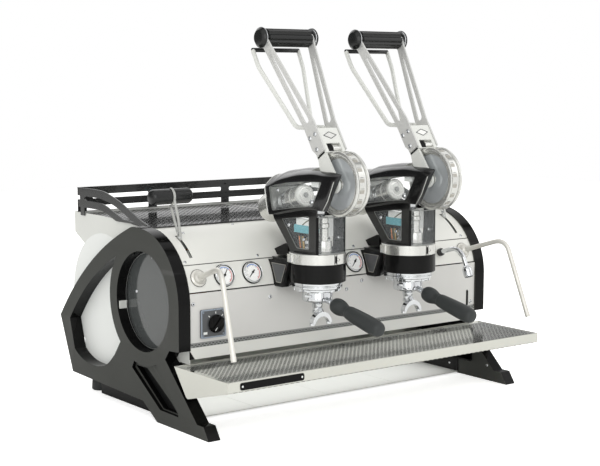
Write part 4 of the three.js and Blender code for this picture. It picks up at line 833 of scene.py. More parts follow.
# Gauges, and the needles that ride on their own bodies
def gauges():
    table = (("left", -360.3, -35), ("middle", -277.9, 132), ("right", 44.7, 136))
    for name, x, turn in table:
        place = on_curve(x)
        case = Form()
        case.add(turned([(0, -26), (20.8, -26), (20.8, 0.4), (25.4, 0.4), (26.4, 1.2), (26.5, 6.5), (26, 8.4),
                         (25.2, 9),
                         (24.4, 8.6), (24.2, 4.6), (0, 4.6)], sides=72), 0, place)
        case.add(turned([(0, 4.3), (23.9, 4.3), (23.9, 4.9), (0, 4.9)], sides=64), 1, place)
        # A flat black ring on the bezel's inner wall: painted shade where the bezel shades the edge of the dial.
        case.add(turned([(23.3, 4.8), (24.15, 4.8), (24.15, 8.2), (23.9, 8.2)], sides=64, closed=True), 2,
                 place)
        # A wide flat black ring where the bezel meets the panel: painted shade round the foot of the gauge.
        case.add(turned([(25.6, 0.1), (28.2, 0.1), (28.2, 1.4), (26, 1.4)], sides=64, closed=True), 2, place)
        for start, end, mark in ((135, 40, 3), (40, -60, 4)):
            arc = ring(0, 0, 20.6, 24, start, end) + ring(0, 0, 18.6, 24, end, start)
            case.add(prism([arc], "z", 4.8, 5.1), mark, place)
        for k in range(28):
            angle = (225 - k * 10) * RAD
            r0, r1 = (15.2, 18) if k % 3 == 0 else (16.6, 18)
            side = Vector((-math.sin(angle), math.cos(angle))) * (0.45 if k % 3 == 0 else 0.25)
            a, b = Vector((math.cos(angle), math.sin(angle))) * r0, Vector((math.cos(angle),
                                                                            math.sin(angle))) * r1
            case.add(prism([[tuple(a + side), tuple(b + side), tuple(b - side), tuple(a - side)]], "z", 4.8,
                           5.1), 2, place)
        make(f"{name}_gauge_case", case, "machine", [CHROME, DIAL, PIT, BLUE, RED], f"{name}_gauge")
        lens = Form().add(turned([(0, 8.3), (12, 8.2), (24.1, 7.8), (24.1, 7.4), (0, 7.6)], sides=64), 0,
                          place)
        make(f"{name}_gauge_lens", lens, "machine", LENS)
        spin = place @ Matrix.Rotation(turn * RAD, 4, "Z")
        hand = Form()
        hand.add(prism([[(-1.7, -8), (1.7, -8), (1.5, 0), (0.6, 16.8), (-0.6, 16.8), (-1.5, 0)]], "z", 5.4,
                       6), 0, spin)
        hand.add(turned([(0, 5.2), (3, 5.2), (3, 6.6), (2.2, 7), (0, 7)], sides=32), 0, spin)
        make(f"{name}_gauge_hand", hand, f"{name}_pointer", GLOSS, f"{name}_needle")


gauges()


# Rotary switch
def switch():
    plate = Form()
    outline = rounded([(-438, 213), (-367, 213), (-367, 282), (-438, 282)], 4)
    inside = rounded([(-434.5, 216.5), (-370.5, 216.5), (-370.5, 278.5), (-434.5, 278.5)], 3)
    plate.add(prism([outline], "y", 124.6, 129.1), 0)
    plate.add(prism([outline, inside], "y", 123.8, 124.7), 1)
    for x, z in ((-431, 220), (-374, 220), (-431, 275), (-374, 275)):
        screw(plate, facing(x, 124.6, z, (0, -1, 0)), 2.4, 1, 2)
    plate.add(slab((-431, -420), (124.3, 124.7), (222, 228)), 3)
    for angle in (90, 45, 135):
        u, v = math.cos(angle * RAD), math.sin(angle * RAD)
        mark = [(-396 + u * 24 - v * 1.1, 246 + v * 24 + u * 1.1),
                (-396 + u * 29 - v * 1.1, 246 + v * 29 + u * 1.1),
                (-396 + u * 29 + v * 1.1, 246 + v * 29 - u * 1.1), (-396 + u * 24 + v * 1.1,
                                                                    246 + v * 24 - u * 1.1)]
        plate.add(prism([mark], "y", 124.3, 124.7), 3)
    make("switch_plate", plate, "machine", [GREY, BEVEL, PIT, WHITE], bevel=0.3)
    knob = Form()
    knob.add(turned([(0, 0), (4, 0), (4, 15.6), (21.4, 15.6), (22, 17), (21.6, 19.6), (19.8, 21.6),
                     (18, 24.4), (15, 25.6),
                     (0, 26)], (SWITCH[0], 139, SWITCH[1]), (0, -1, 0), 72))
    turn = Matrix.Translation((SWITCH[0], 0, SWITCH[1])) @ Matrix.Rotation(40 * RAD, 4, "Y")
    grip = rounded([(-5.6, -19), (5.6, -19), (4.6, 19), (-4.6, 19)], 3)
    knob.add(prism([grip], "y", 108.4, 118), 0, turn)
    knob.add(slab((-0.8, 0.8), (108.1, 109), (-18, -9)), 1, turn)
    make("switch_grip", knob, "switch_knob", [GLOSS, WHITE], "mode_knob", bevel=0.8)


switch()


# Steam levers
def steam_lever(name, side):
    x = side * STEAM_X
    form = Form()
    grip = [(0, -57), (13, -57), (15.5, -55.5), (18.4, -51), (19, -48), (19, 48), (18.4, 51), (15.5, 55.5),
            (13, 57), (0, 57)]
    form.add(turned(grip, (x, 262, 542), (1, 0, 0), 56), 0)
    strap = rounded([(-3.2, -1.2), (3.2, -1.2), (3.2, 1.2), (-3.2, 1.2)], 0.8, 3)
    front = [STEAM_PIVOT, (221, 430), (216, 446), (226, 490), (238, 521), (245, 540), (250, 556)]
    rear = [STEAM_PIVOT, (226, 430), (224, 446), (246, 490), (262, 521)]
    for line in (front, rear):
        corners = [(x, y, z) for y, z in line]
        form.add(swept(route(corners, 9), strap, (1, 0, 0)), 1)
    over = [(x, 262 + 20.4 * math.cos(a * RAD), 542 + 20.4 * math.sin(a * RAD)) for a in range(250, 95, -8)]
    form.add(swept([Vector(p) for p in over], strap, (1, 0, 0)), 1)
    form.add(turned([(0, -4), (9, -4), (9, 4), (0, 4)], (x, *STEAM_PIVOT), (1, 0, 0), 32), 1)
    for y, z in ((219, 446), (224, 456)):
        form.add(turned([(0, -3.9), (3.2, -3.9), (3.2, 3.9), (0, 3.9)], (x, y, z), (1, 0, 0), 20), 2)
    make(f"{name}_steam_handle", form, f"{name}_steam_valve_lever", [BAKELITE, SATIN, CHROME],
         f"{name}_steam_lever")


for name, side in SIDES.items():
    steam_lever(name, side)


# Wands and water tap
def wand(name, side, swing):
    place = on_curve(side * WAND_X)
    collar = Form()
    collar.add(turned([(0, 0.1), (20.6, 0.1), (20.7, 0.8), (20.4, 1.8), (17.6, 2.6), (15.8, 4.4), (15.1, 4.4),
                       (14.9, 3), (0, 3)],
                      sides=64), 0, place)
    collar.add(turned([(20.7, 0.05), (21.6, 0.05), (21.6, 0.6), (20.7, 0.6)], sides=64, closed=True), 1,
               place)
    make(f"{name}_wand_collar", collar, "machine", [WAND, PIT])
    centre = on_curve(side * WAND_X, radius=BODY_R + 2).translation
    ball = Form()
    ball.add(turned([(15 * math.sin(a * RAD), -15 * math.cos(a * RAD)) for a in range(0, 181, 9)], centre,
                    on_curve(0).col[2].to_3d(), 56))
    make(f"{name}_wand_sphere", ball, f"{name}_wand_joint", WAND, f"{name}_wand_ball")
    ahead = Vector((math.sin(swing * RAD), -math.cos(swing * RAD), 0))
    def spot(reach, rise):
        return centre + ahead * reach + Vector((0, 0, rise))
    pipe = Form()
    start = spot(13.4, 4.2)
    corner, tip = spot(128, 41), spot(199.6, -165)
    pipe.add(swept(route([start, corner, tip], 36, 16), ring(0, 0, 6.5, 28)))
    down = (tip - corner).normalized()
    base = tip - down * 13
    pipe.add(turned([(0, 0), (6.6, 0), (7, 2), (7, 8), (6.2, 11), (4.2, 13), (0, 13)], base, down, 32))
    first = (corner - start).normalized()
    pipe.add(turned([(0, 0), (9.4, 0), (8.2, 3), (7, 8), (6.5, 12), (0, 12)], start + first, first, 32))
    for k in range(4):
        angle = k * math.pi / 2 + 0.6
        turn = Vector((0, 0, 1)).rotation_difference(down)
        hole = base + down * 11.6 + turn @ Vector((math.cos(angle) * 5, math.sin(angle) * 5, 0))
        pipe.add(turned([(0, 0), (0.9, 0), (0.9, 0.5), (0, 0.5)], hole,
                        turn @ Vector((math.cos(angle), math.sin(angle), 0.8)), 12), 1)
    make(f"{name}_wand_pipe", pipe, f"{name}_steam_wand", [WAND, PIT], f"{name}_wand")


wand("left", -1, -10)
wand("right", 1, 17.5)


def water_tap():
    place = on_curve(TAP_X)
    base, out = place.translation, place.col[2].to_3d()
    form = Form()
    form.add(turned([(0, -10), (4.8, -10), (4.8, 0.3), (8.5, 0.3), (9.8, 1), (10, 3), (10, 11), (9, 13.6),
                     (6.4, 14), (0, 14)],
                    sides=48), 0, place)
    for k in range(24):
        spin = place @ Matrix.Rotation(k * 15 * RAD, 4, "Z")
        form.add(slab((9.4, 10.5), (-0.55, 0.55), (3, 11)), 0, spin)
    x = TAP_X
    corners = [base + out * 10, (x, base.y - 60, base.z + 19.2), (x, base.y - 88.8, base.z + 8.4),
               (x, base.y - 104.4, base.z - 24)]
    form.add(tube(corners, 6.4, 22, 28), 1)
    lean = Vector((0, -0.4, -0.92)).normalized()
    top = Vector(corners[-1])
    form.add(turned([(0, 0), (7, 0), (9, 2), (12.4, 6), (13, 9), (13, 27), (12, 30), (10.4, 30), (10.4, 24),
                     (0, 24)], top, lean, 48), 1)
    for k in range(6, 10):
        form.add(turned([(13.05, 0), (13.3, 0.4), (13.05, 0.8)], top + lean * (k * 2.4 + 1), lean, 48), 1)
    make("tap_spout", form, "water_spout", [SHEET, CHROME], "water_tap")


water_tap()


# Groups
def group(name, side):
    """One group: the fixed body and bracket, the plunger, and all that the other functions add."""
    x = side * GROUP_X
    axis = (x, GROUP_Y, 0)

    body = Form()
    body.add(turned([(27.4, 313.8), (50, 313.8), (55.6, 314.6), (57, 316), (57, 320.8), (60.6, 321),
                     (62, 322.4), (62, 327),
                     (60.4, 328), (60.4, 330), (62, 331), (62, 335.4), (61, 336.7), (57.9, 336.7), (57.9,
                                                                                                    407.4), (31, 407.4),
                     (31, 418), (29.6, 419), (29.6, 424), (31, 425), (31, 441), (29, 444.7), (9.4,
                                                                                              444.7), (9.4, 402),
                     (27.4, 402)], axis, sides=96, closed=True))
    for k in range(12):
        turn = Matrix.Translation(axis) @ Matrix.Rotation(k * 30 * RAD, 4, "Z")
        body.add(slab((52, 58.2), (-5, 5), (314.4, 320.4)), 0, turn)
    make(f"{name}_group_barrel", body, "machine", CHROME, f"{name}_group_body", bevel=0.4)

    band = Form().add(turned([(58.3, 337), (68.6, 337), (70, 338.4), (70, 380.2), (68.8, 381.6),
                              (58.3, 381.6)], axis, sides=96,
                             closed=True))
    make(f"{name}_band_shell", band, "machine", GLOSS, f"{name}_group_band")

    clamp = Form().add(turned([(58.3, 382.1), (68.8, 382.1), (70, 383.2), (70, 406.8), (68.8, 408),
                               (58.3, 408)], axis, sides=96,
                              closed=True))
    lug = rounded([(-88, 70), (-62, 70), (-58, 84), (-70, 96), (-86, 92)], 4)
    clamp.add(prism([[(x + u + 14, v - 14) for u, v in lug]], "z", 386, 405.5))
    for u, mark in ((-1.8, 1), (4.4, 1)):
        clamp.add(slab((x + u - 1.2, x + u + 1.2), (GROUP_Y - 70.2, GROUP_Y - 69), (383, 407.2)), mark)
    hole = rounded([(x - 0.4, 386), (x + 3.2, 386), (x + 3.2, 404), (x - 0.4, 404)], 1.5)
    clamp.add(prism([hole], "y", GROUP_Y - 70.15, GROUP_Y - 69.2), 1)
    screw(clamp, facing(x + 10, GROUP_Y - 69.3, 395, (0.15, -1, 0)), 4.4, 0, 1)
    make(f"{name}_clamp_band", clamp, "machine", [ALU, PIT], f"{name}_clamp_ring", bevel=0.4)

    axle = Form().add(turned([(0, 300), (70.4, 300), (70.4, 440), (0, 440)], axis, sides=96))
    bore = [(0, 300), (70.4, 300), (70.4, 337), (58, 337), (58, 390), (0, 390)]
    low = Form().add(turned(bore, axis, sides=96))
    barrel = Form().add(turned([(0, -90), (BODY_R + 0.5, -90), (BODY_R + 0.5, 90), (0, 90)], (x, *BODY),
                               (1, 0, 0), 160))
    bracket = Form()
    side_form = [(73, 384), (99, 320), (172, 320), (172, 384)]
    bracket.add(prism([side_form], "x", x - 70.4, x + 70.4))
    piece = make(f"{name}_bracket_body", bracket, "machine", [GLOSS])
    carve(piece, [low, barrel])
    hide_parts(f"{name}_group_bracket")
    trims = Form()
    for s in SIDES.values():
        cheek = rounded([(83, 377), (103, 330), (122, 330), (142, 377)], 1.5)
        trims.add(prism([cheek], "x", *beside(x, s, 70.5, 70.9)))
        trims.add(prism([cheek, shrunk(cheek, 1.6)], "x", *beside(x, s, 70.9, 71.3)), 1)
    make(f"{name}_bracket_trims", trims, "machine", [GREY, WARM], bevel=0.1)
    shelf = Form()
    wedge = [(118, 394.5), (118, 423), (127, 424), (176, 404.5), (162, 392)]
    shelf.add(prism([rounded(wedge, 2)], "x", x - 39, x + 39))
    piece = make(f"{name}_bracket_wedge", shelf, "machine", [GLOSS])
    carve(piece, [axle, barrel])
    shelf = Form().add(slab((x - 56, x + 56), (90, 176), (384.1, 389)))
    piece = make(f"{name}_bracket_shelf", shelf, "machine", [SHEET])
    carve(piece, [axle, barrel])

    plunger = Form()
    plunger.add(turned([(0, 326), (26.6, 326), (27, 327), (27, 339), (26, 340), (9, 340), (9, 446), (16, 446),
                        (18, 448),
                        (18, 470), (15, 472), (15, 478), (18, 480), (18, 495), (16, 498.6), (0,
                                                                                             498.6)], axis, sides=56))
    plunger.add(turned([(9.3, 343), (20, 343), (20, 346), (9.3, 346)], axis, sides=40, closed=True))
    make(f"{name}_plunger_rod", plunger, f"{name}_plunger", CHROME, f"{name}_piston")

    hood(name, x)
    head_insides(name, x)
    portafilter(name, x)
    wheel(name, x)
    lever(name, x)
    drum(name, x)


def hood_loft():
    """The hood's closed skin, with a crown along its middle, a bowed front and rounded edges."""
    top = [(203, 557.1), (180, 565), (151, 576.9), (118, 585), (85, 592), (57, 596), (18, 600), (-21, 599),
           (-47, 597), (-71, 588)]
    crown = [1.9, 1.7, 1.5, 1.3, 1.15, 1.05, 0.95, 0.95, 1.2, 1.9]
    under = [(-30, 515), (17, 515), (57, 510), (117, 499), (155, 491.5), (188, 490)]
    outline = smooth_line([(y, z, c) for (y, z), c in zip(top, crown)], 4) + [(y, z, 0) for y, z in under]
    last = len(outline) - len(under) - 1
    middle = Vector((70, 548))
    stations = []
    for share in (-1, -0.985, -0.95, -0.9, -0.8, -0.65, -0.45, -0.22, 0, 0.22, 0.45, 0.65, 0.8, 0.9, 0.95,
                  0.985, 1):
        edge = max(0.0, (abs(share) - 0.9) / 0.1)
        inset = 4.5 * (1 - math.sqrt(max(0.0, 1 - edge * edge)))
        stations.append((share * 48, inset, 1 - share * share))
    spots, faces = [], []
    n = len(outline)
    for x, inset, swell in stations:
        for i, (y, z, c) in enumerate(outline):
            pull = (Vector((y, z)) - middle).normalized() * inset * (1 if c else 0.5)
            bow = 20 * swell * (max(0, i - last + 4) / 4 if i <= last else 0)
            spots.append((x, y - pull.x - bow, z - pull.y + 16 * swell * c))
    for s in range(len(stations) - 1):
        faces += [(s * n + i, s * n + (i + 1) % n, (s + 1) * n + (i + 1) % n,
                   (s + 1) * n + i) for i in range(n)]
    faces += [tuple(range(n)), tuple(reversed(range(len(spots) - n, len(spots))))]
    return spots, faces


UPPER_PANE = [(185, 559.4), (160, 566), (110, 574.6), (56, 580.3), (10, 583.2), (-22, 584.6), (-25.5, 582),
              (7, 526), (11, 522.6),
              (60, 517.5), (120, 509.2), (168, 501.4), (172, 504)]
LOWER_PANE = [(134, 484), (30, 498.5), (25, 496), (25, 420), (28, 417), (74, 417)]
NECK = [(-3, 408.4), (-3, 517), (48, 514), (140, 499), (174, 496), (167, 482), (113, 425), (101, 408.4)]


def hood(name, x):
    """The hood and neck with their panes, rims and front cover."""
    shell = Form().add(hood_loft(), 0, Matrix.Translation((x, 0, 0)))
    piece = make(f"{name}_hood_shell", shell, "machine", [HOOD, SATIN], angle=38)
    hollow = [(177, 498), (190, 556), (150, 572), (85, 586), (10, 593), (-18, 592), (-28, 577), (-12, 524),
              (60, 513)]
    slot = [(-115, 498), (-115, 680), (33, 680), (33, 498)]
    cuts = [
        Form().add(prism([hollow], "x", x - 43.6, x + 43.6), 1),
        Form().add(prism([slot], "x", x - 31.8, x + 31.8), 1),
        Form().add(prism([rounded(UPPER_PANE, 4, 4)], "x", x - 60, x + 60)),
        Form().add(turned([(0, 470), (19.5, 470), (19.5, 560), (0, 560)], (x, GROUP_Y, 0), sides=48)),
    ]
    carve(piece, cuts, 38)
    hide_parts(f"{name}_hood")
    neck = Form()
    for s in SIDES.values():
        neck.add(prism([NECK, rounded(LOWER_PANE, 3, 4)], "x", *beside(x, s, 41, 45)))
        pane = rounded(LOWER_PANE, 3, 4)
        neck.add(prism([pane, shrunk(pane, 1.8)], "x", *beside(x, s, 43.4, 45.2)), 1)
    back = [(101, 408.4), (113, 425), (167, 482), (162, 486), (109, 428.5), (97, 408.4)]
    neck.add(prism([back], "x", x - 41.2, x + 41.2))
    for s in SIDES.values():
        neck.add(slab(beside(x, s, 33, 41.2), (-3, 101), (408.4, 412)))
        rounds = [(s * 34, 408.4), (s * 41.2, 408.4), (s * 41.2, 417), (s * 37, 413)]
        neck.add(prism([[(x + u, v) for u, v in rounds]], "y", 8, 96))
    make(f"{name}_neck_shell", neck, "machine", [HOOD, BARE], bevel=0.8)
    rims = Form()
    for s in SIDES.values():
        out = rounded(UPPER_PANE, 4, 4)
        rims.add(prism([out, shrunk(out, 2.2)], "x", *beside(x, s, 44.4, 48.05)))
    make(f"{name}_hood_rims", rims, "machine", [BARE], bevel=0.3)
    trim = Form()
    edge = [(-71.4, 588), (-50, 542), (-30, 515)]
    for s in SIDES.values():
        path = [Vector((x + s * 47.4, y, z)) for y, z in edge]
        trim.add(swept(path, ring(0, 0, 0.9, 10)))
        path = [Vector((x + s * 47.2, y, z)) for y,
                z in smooth_line([(188, 490), (197, 520), (203.4, 557)], 6)]
        trim.add(swept(path, ring(0, 0, 1.5, 12)))
    over = [Vector((x + 47 * t, 203.6, 557.2 + 30.4 * (1 - t * t))) for t in (k / 12 - 1 for k in range(25))]
    trim.add(swept(over, ring(0, 0, 1.5, 12)))
    make(f"{name}_hood_edges", trim, "machine", [ALU])
    panes = Form()
    for s in SIDES.values():
        panes.add(prism([rounded(UPPER_PANE, 4, 4)], "x", *beside(x, s, 44, 45.2)))
        panes.add(prism([rounded(LOWER_PANE, 3, 4)], "x", *beside(x, s, 41.6, 42.6)))
    make(f"{name}_hood_panes", panes, "machine", PANE)
    cover = Form()
    arc = ring(x, GROUP_Y, 68, 40, -90 - 41.5, -90 + 41.5)
    back = ring(x, GROUP_Y, 66, 40, -90 + 41.5, -90 - 41.5)
    cover.add(prism([arc + back], "z", 408.5, 497.4))
    make(f"{name}_cover_screen", cover, "machine", PANE, f"{name}_front_cover")
    frame_form = Form()
    for s in SIDES.values():
        strip = ring(x, GROUP_Y, 68.6, 8, -90 + s * 41.6, -90 + s * 36) + ring(x, GROUP_Y, 65.2, 8,
                                                                               -90 + s * 36, -90 + s * 41.6)
        frame_form.add(prism([strip], "z", 408.6, 498))
    for z0, z1 in ((408.6, 410.8), (496, 498)):
        strip = ring(x, GROUP_Y, 68.3, 30, -90 - 36, -90 + 36) + ring(x, GROUP_Y, 65.4, 30, -90 + 36,
                                                                      -90 - 36)
        frame_form.add(prism([strip], "z", z0, z1), 1)
    make(f"{name}_cover_frame", frame_form, "machine", [GLOSS, BARE], bevel=0.3)


def head_insides(name, x):
    """What shows through the panes and the front cover."""
    form = Form()
    form.add(slab((x - 40, x + 40), (92, 95), (412, 478)), 1)
    form.add(slab((x - 4, x + 30), (25, 27), (446, 496)), 6)
    form.add(slab((x + 30, x + 40.6), (14, 27), (412, 497)), 7)
    form.add(slab((x - 40.6, x - 34), (18, 22), (412, 497)), 1)
    form.add(turned([(0, 408.6), (21, 408.6), (21, 413), (22.6, 414), (22.6, 418), (21, 419), (21, 436),
                     (20, 438.6), (12.4, 439),
                     (12.4, 468), (14.6, 471), (14.6, 480), (12.4, 482), (12.4, 495), (0, 495)], (x - 8, 17,
                                                                                                  0), sides=48), 9)
    for dx, z in ((-38, 446), (4, 438), (37, 444)):
        screw(form, facing(x + dx, 12 if dx > 30 else 10, z, (0, -1, 0)), 4.4, 2, 1)
    form.add(slab((x - 39.6, x - 19), (34, 92), (455, 474)), 3)
    form.add(slab((x - 39, x - 19), (34, 84), (474, 490)), 6)
    form.add(slab((x - 38, x - 17), (30, 40), (420, 456)), 0)
    form.add(tube([(x - 36, 30, 490), (x - 36, 44, 484), (x - 36, 60, 474)], 3.4, 8, 14), 8)
    for dy, mark in ((72, 8), (80, 5), (66, 4)):
        form.add(tube([(x - 32, dy, 446), (x - 32, dy - 2, 430), (x - 32, dy - 6, 412)], 2.4, 6, 12), mark)
    form.add(turned([(0, 412), (13, 412), (13, 422), (10, 426), (13, 430), (13, 438), (0, 438)],
                    (x - 27, 44, 0), sides=32), 2)
    for y, z, r in ((112, 470, 5.4), (52, 440, 4.6), (84, 418, 5), (60, 414, 5)):
        screw(form, facing(x - 40.4, y, z, (-1, 0, 0)), r, 2, 1)
    form.add(turned([(19.6, 0), (23, 0), (23, 10), (19.6, 10)], (x, GROUP_Y, 500), sides=40, closed=True), 2)
    make(f"{name}_head_fittings", form, "machine",
         [GREY, PIT, CHROME, TEAL, BRASS, COPPER, WHITE, GLOSS, OLIVE, ALU], bevel=0.4)


def drum(name, x):
    tilt = 16.2 * RAD
    along = Vector((0, math.cos(tilt), -math.sin(tilt)))
    start = Vector((x, 196, 514))
    form = Form()
    form.add(turned([(0, -99.6), (24, -99.6), (27, -98), (27.8, -95), (27.8, -74), (27, -73), (27, -70),
                     (27.8, -69), (27.8, -51),
                     (26.6, -50), (18, -50), (18, 2.2), (35.4, 2.2), (37.2, 3.4), (37.8, 5.6), (37.8,
                                                                                                48), (36.8, 52), (34, 55.6),
                     (28, 57.6), (24, 57.8), (23, 56), (0, 56)], start, along, 96))
    form.add(turned([(0, -103), (26, -103), (27.6, -101.6), (27.8, -52), (0, -52)], start, along, 64), 3)
    form.add(turned([(17, -103.8), (19, -103.8), (19, -103), (17, -103)], start, along, 64, closed=True), 0)
    form.add(turned([(0, -106), (7, -106), (7, -102.8), (0, -102.8)], start, along, 6), 2)
    for k in range(6):
        angle = k * math.pi / 3
        turn = Vector((0, 0, 1)).rotation_difference(along)
        spot = start + along * 56 + turn @ Vector((16 * math.cos(angle), 16 * math.sin(angle), 0))
        screw(form, facing(*spot, along), 2.6, 0, 1)
    make(f"{name}_drum_housing", form, "machine", [ALU, PIT, BARE, PALE], f"{name}_spring_drum")
    inner = Form()
    inner.add(turned([(19, -34), (27, -34), (27, -22), (24, -20), (19, -20)], start, along, 64, closed=True),
              1)
    for s in SIDES.values():
        inner.add(slab(beside(x, s, 20, 42.6), (-8, 20), (570, 588)), 0)
        screw(inner, facing(x + s * 40, 158, 552, (s, 0, 0)), 5, 1, 2)
        inner.add(turned([(0, 0), (7, 0), (7, 4), (4, 7), (0, 7)], (x + s * 34, 26, 532), (s, 0, 0), 32), 1)
        inner.add(slab(beside(x, s, 24, 43), (40, 160), (506, 510)), 2)
    make(f"{name}_hood_fittings", inner, "machine", [WHITE, CHROME, PIT], bevel=0.5)


def wheel(name, x):
    hub = (x, *HUB)
    form = Form()
    rim = [(67, -16), (68, -18.4), (70.5, -19), (75.6, -19), (77.4, -18), (78, -16.4), (77.4, -14.6),
           (75.6, -13.8), (74.2, -13.2),
           (74.2, -11.4), (75.6, -10.6), (75.6, 8.6), (74.2, 9.4), (74.2, 10.4), (75.6, 11), (77.4,
                                                                                              11.6), (78, 13), (78, 17),
           (77.4, 18.4), (75.6, 19), (70.5, 19), (68, 18.4), (67, 16), (62, 12), (60.5, 4), (60.5, -4), (62,
                                                                                                         -12)]
    form.add(turned(rim, hub, (1, 0, 0), 120, closed=True))
    for u0, u1 in ((-13.3, -11.3), (9.3, 10.5)):
        form.add(turned([(73.9, u0), (74.4, u0), (74.4, u1), (73.9, u1)], hub, (1, 0, 0), 96, closed=True), 3)
    for k in range(18):
        spin = Matrix.Translation(hub) @ Matrix.Rotation(k * 20 * RAD, 4, "X")
        form.add(slab((-9.5, 2.5), (-4.4, 4.4), (75.2, 76.4)), 1, spin)
        form.add(slab((-8.5, 1.5), (6.8, 7.8), (75.3, 75.8)), 3, spin)
    for s in SIDES.values():
        dish = [(0, s * 6), (18, s * 6), (20, s * 8), (44, s * 8), (46, s * 9.4), (57, s * 10.6),
                (61, s * 12.4)]
        form.add(turned(dish, hub, (1, 0, 0), 96), 2)
        for r, u, w in ((66.4, 16.8, 1.4), (62, 13.4, 1), (57.4, 11.4, 1), (46, 9.8, 0.9)):
            ridge = [(r - w, s * (u - 0.6)), (r + w, s * (u - 0.6)), (r + w * 0.4, s * (u + 0.7)),
                     (r - w * 0.4, s * (u + 0.7))]
            form.add(turned(ridge, hub, (1, 0, 0), 96, closed=True), 0)
        form.add(turned([(0, 0), (15, 0), (17, 2), (17, 6), (14, 9), (0, 9)], (x + s * 4, *HUB), (s, 0, 0),
                        48), 0)
    form.add(turned([(0, -43.4), (6.8, -43.4), (8, -42.4), (8, 42.4), (6.8, 43.4), (0, 43.4)], hub, (1, 0, 0),
                    40))
    make(f"{name}_wheel_rim", form, "machine", [ALU, WARM, SMOKY, GREY], f"{name}_ratchet_wheel", bevel=0.25)


def lever_place(x):
    """The frame of a lever: +X, across it to the back, and along it from the hub."""
    along = Vector((0, math.sin(LEAN), math.cos(LEAN)))
    across = Vector((0, math.cos(LEAN), -math.sin(LEAN)))
    return frame_matrix((x, *HUB), (1, 0, 0), across, along)


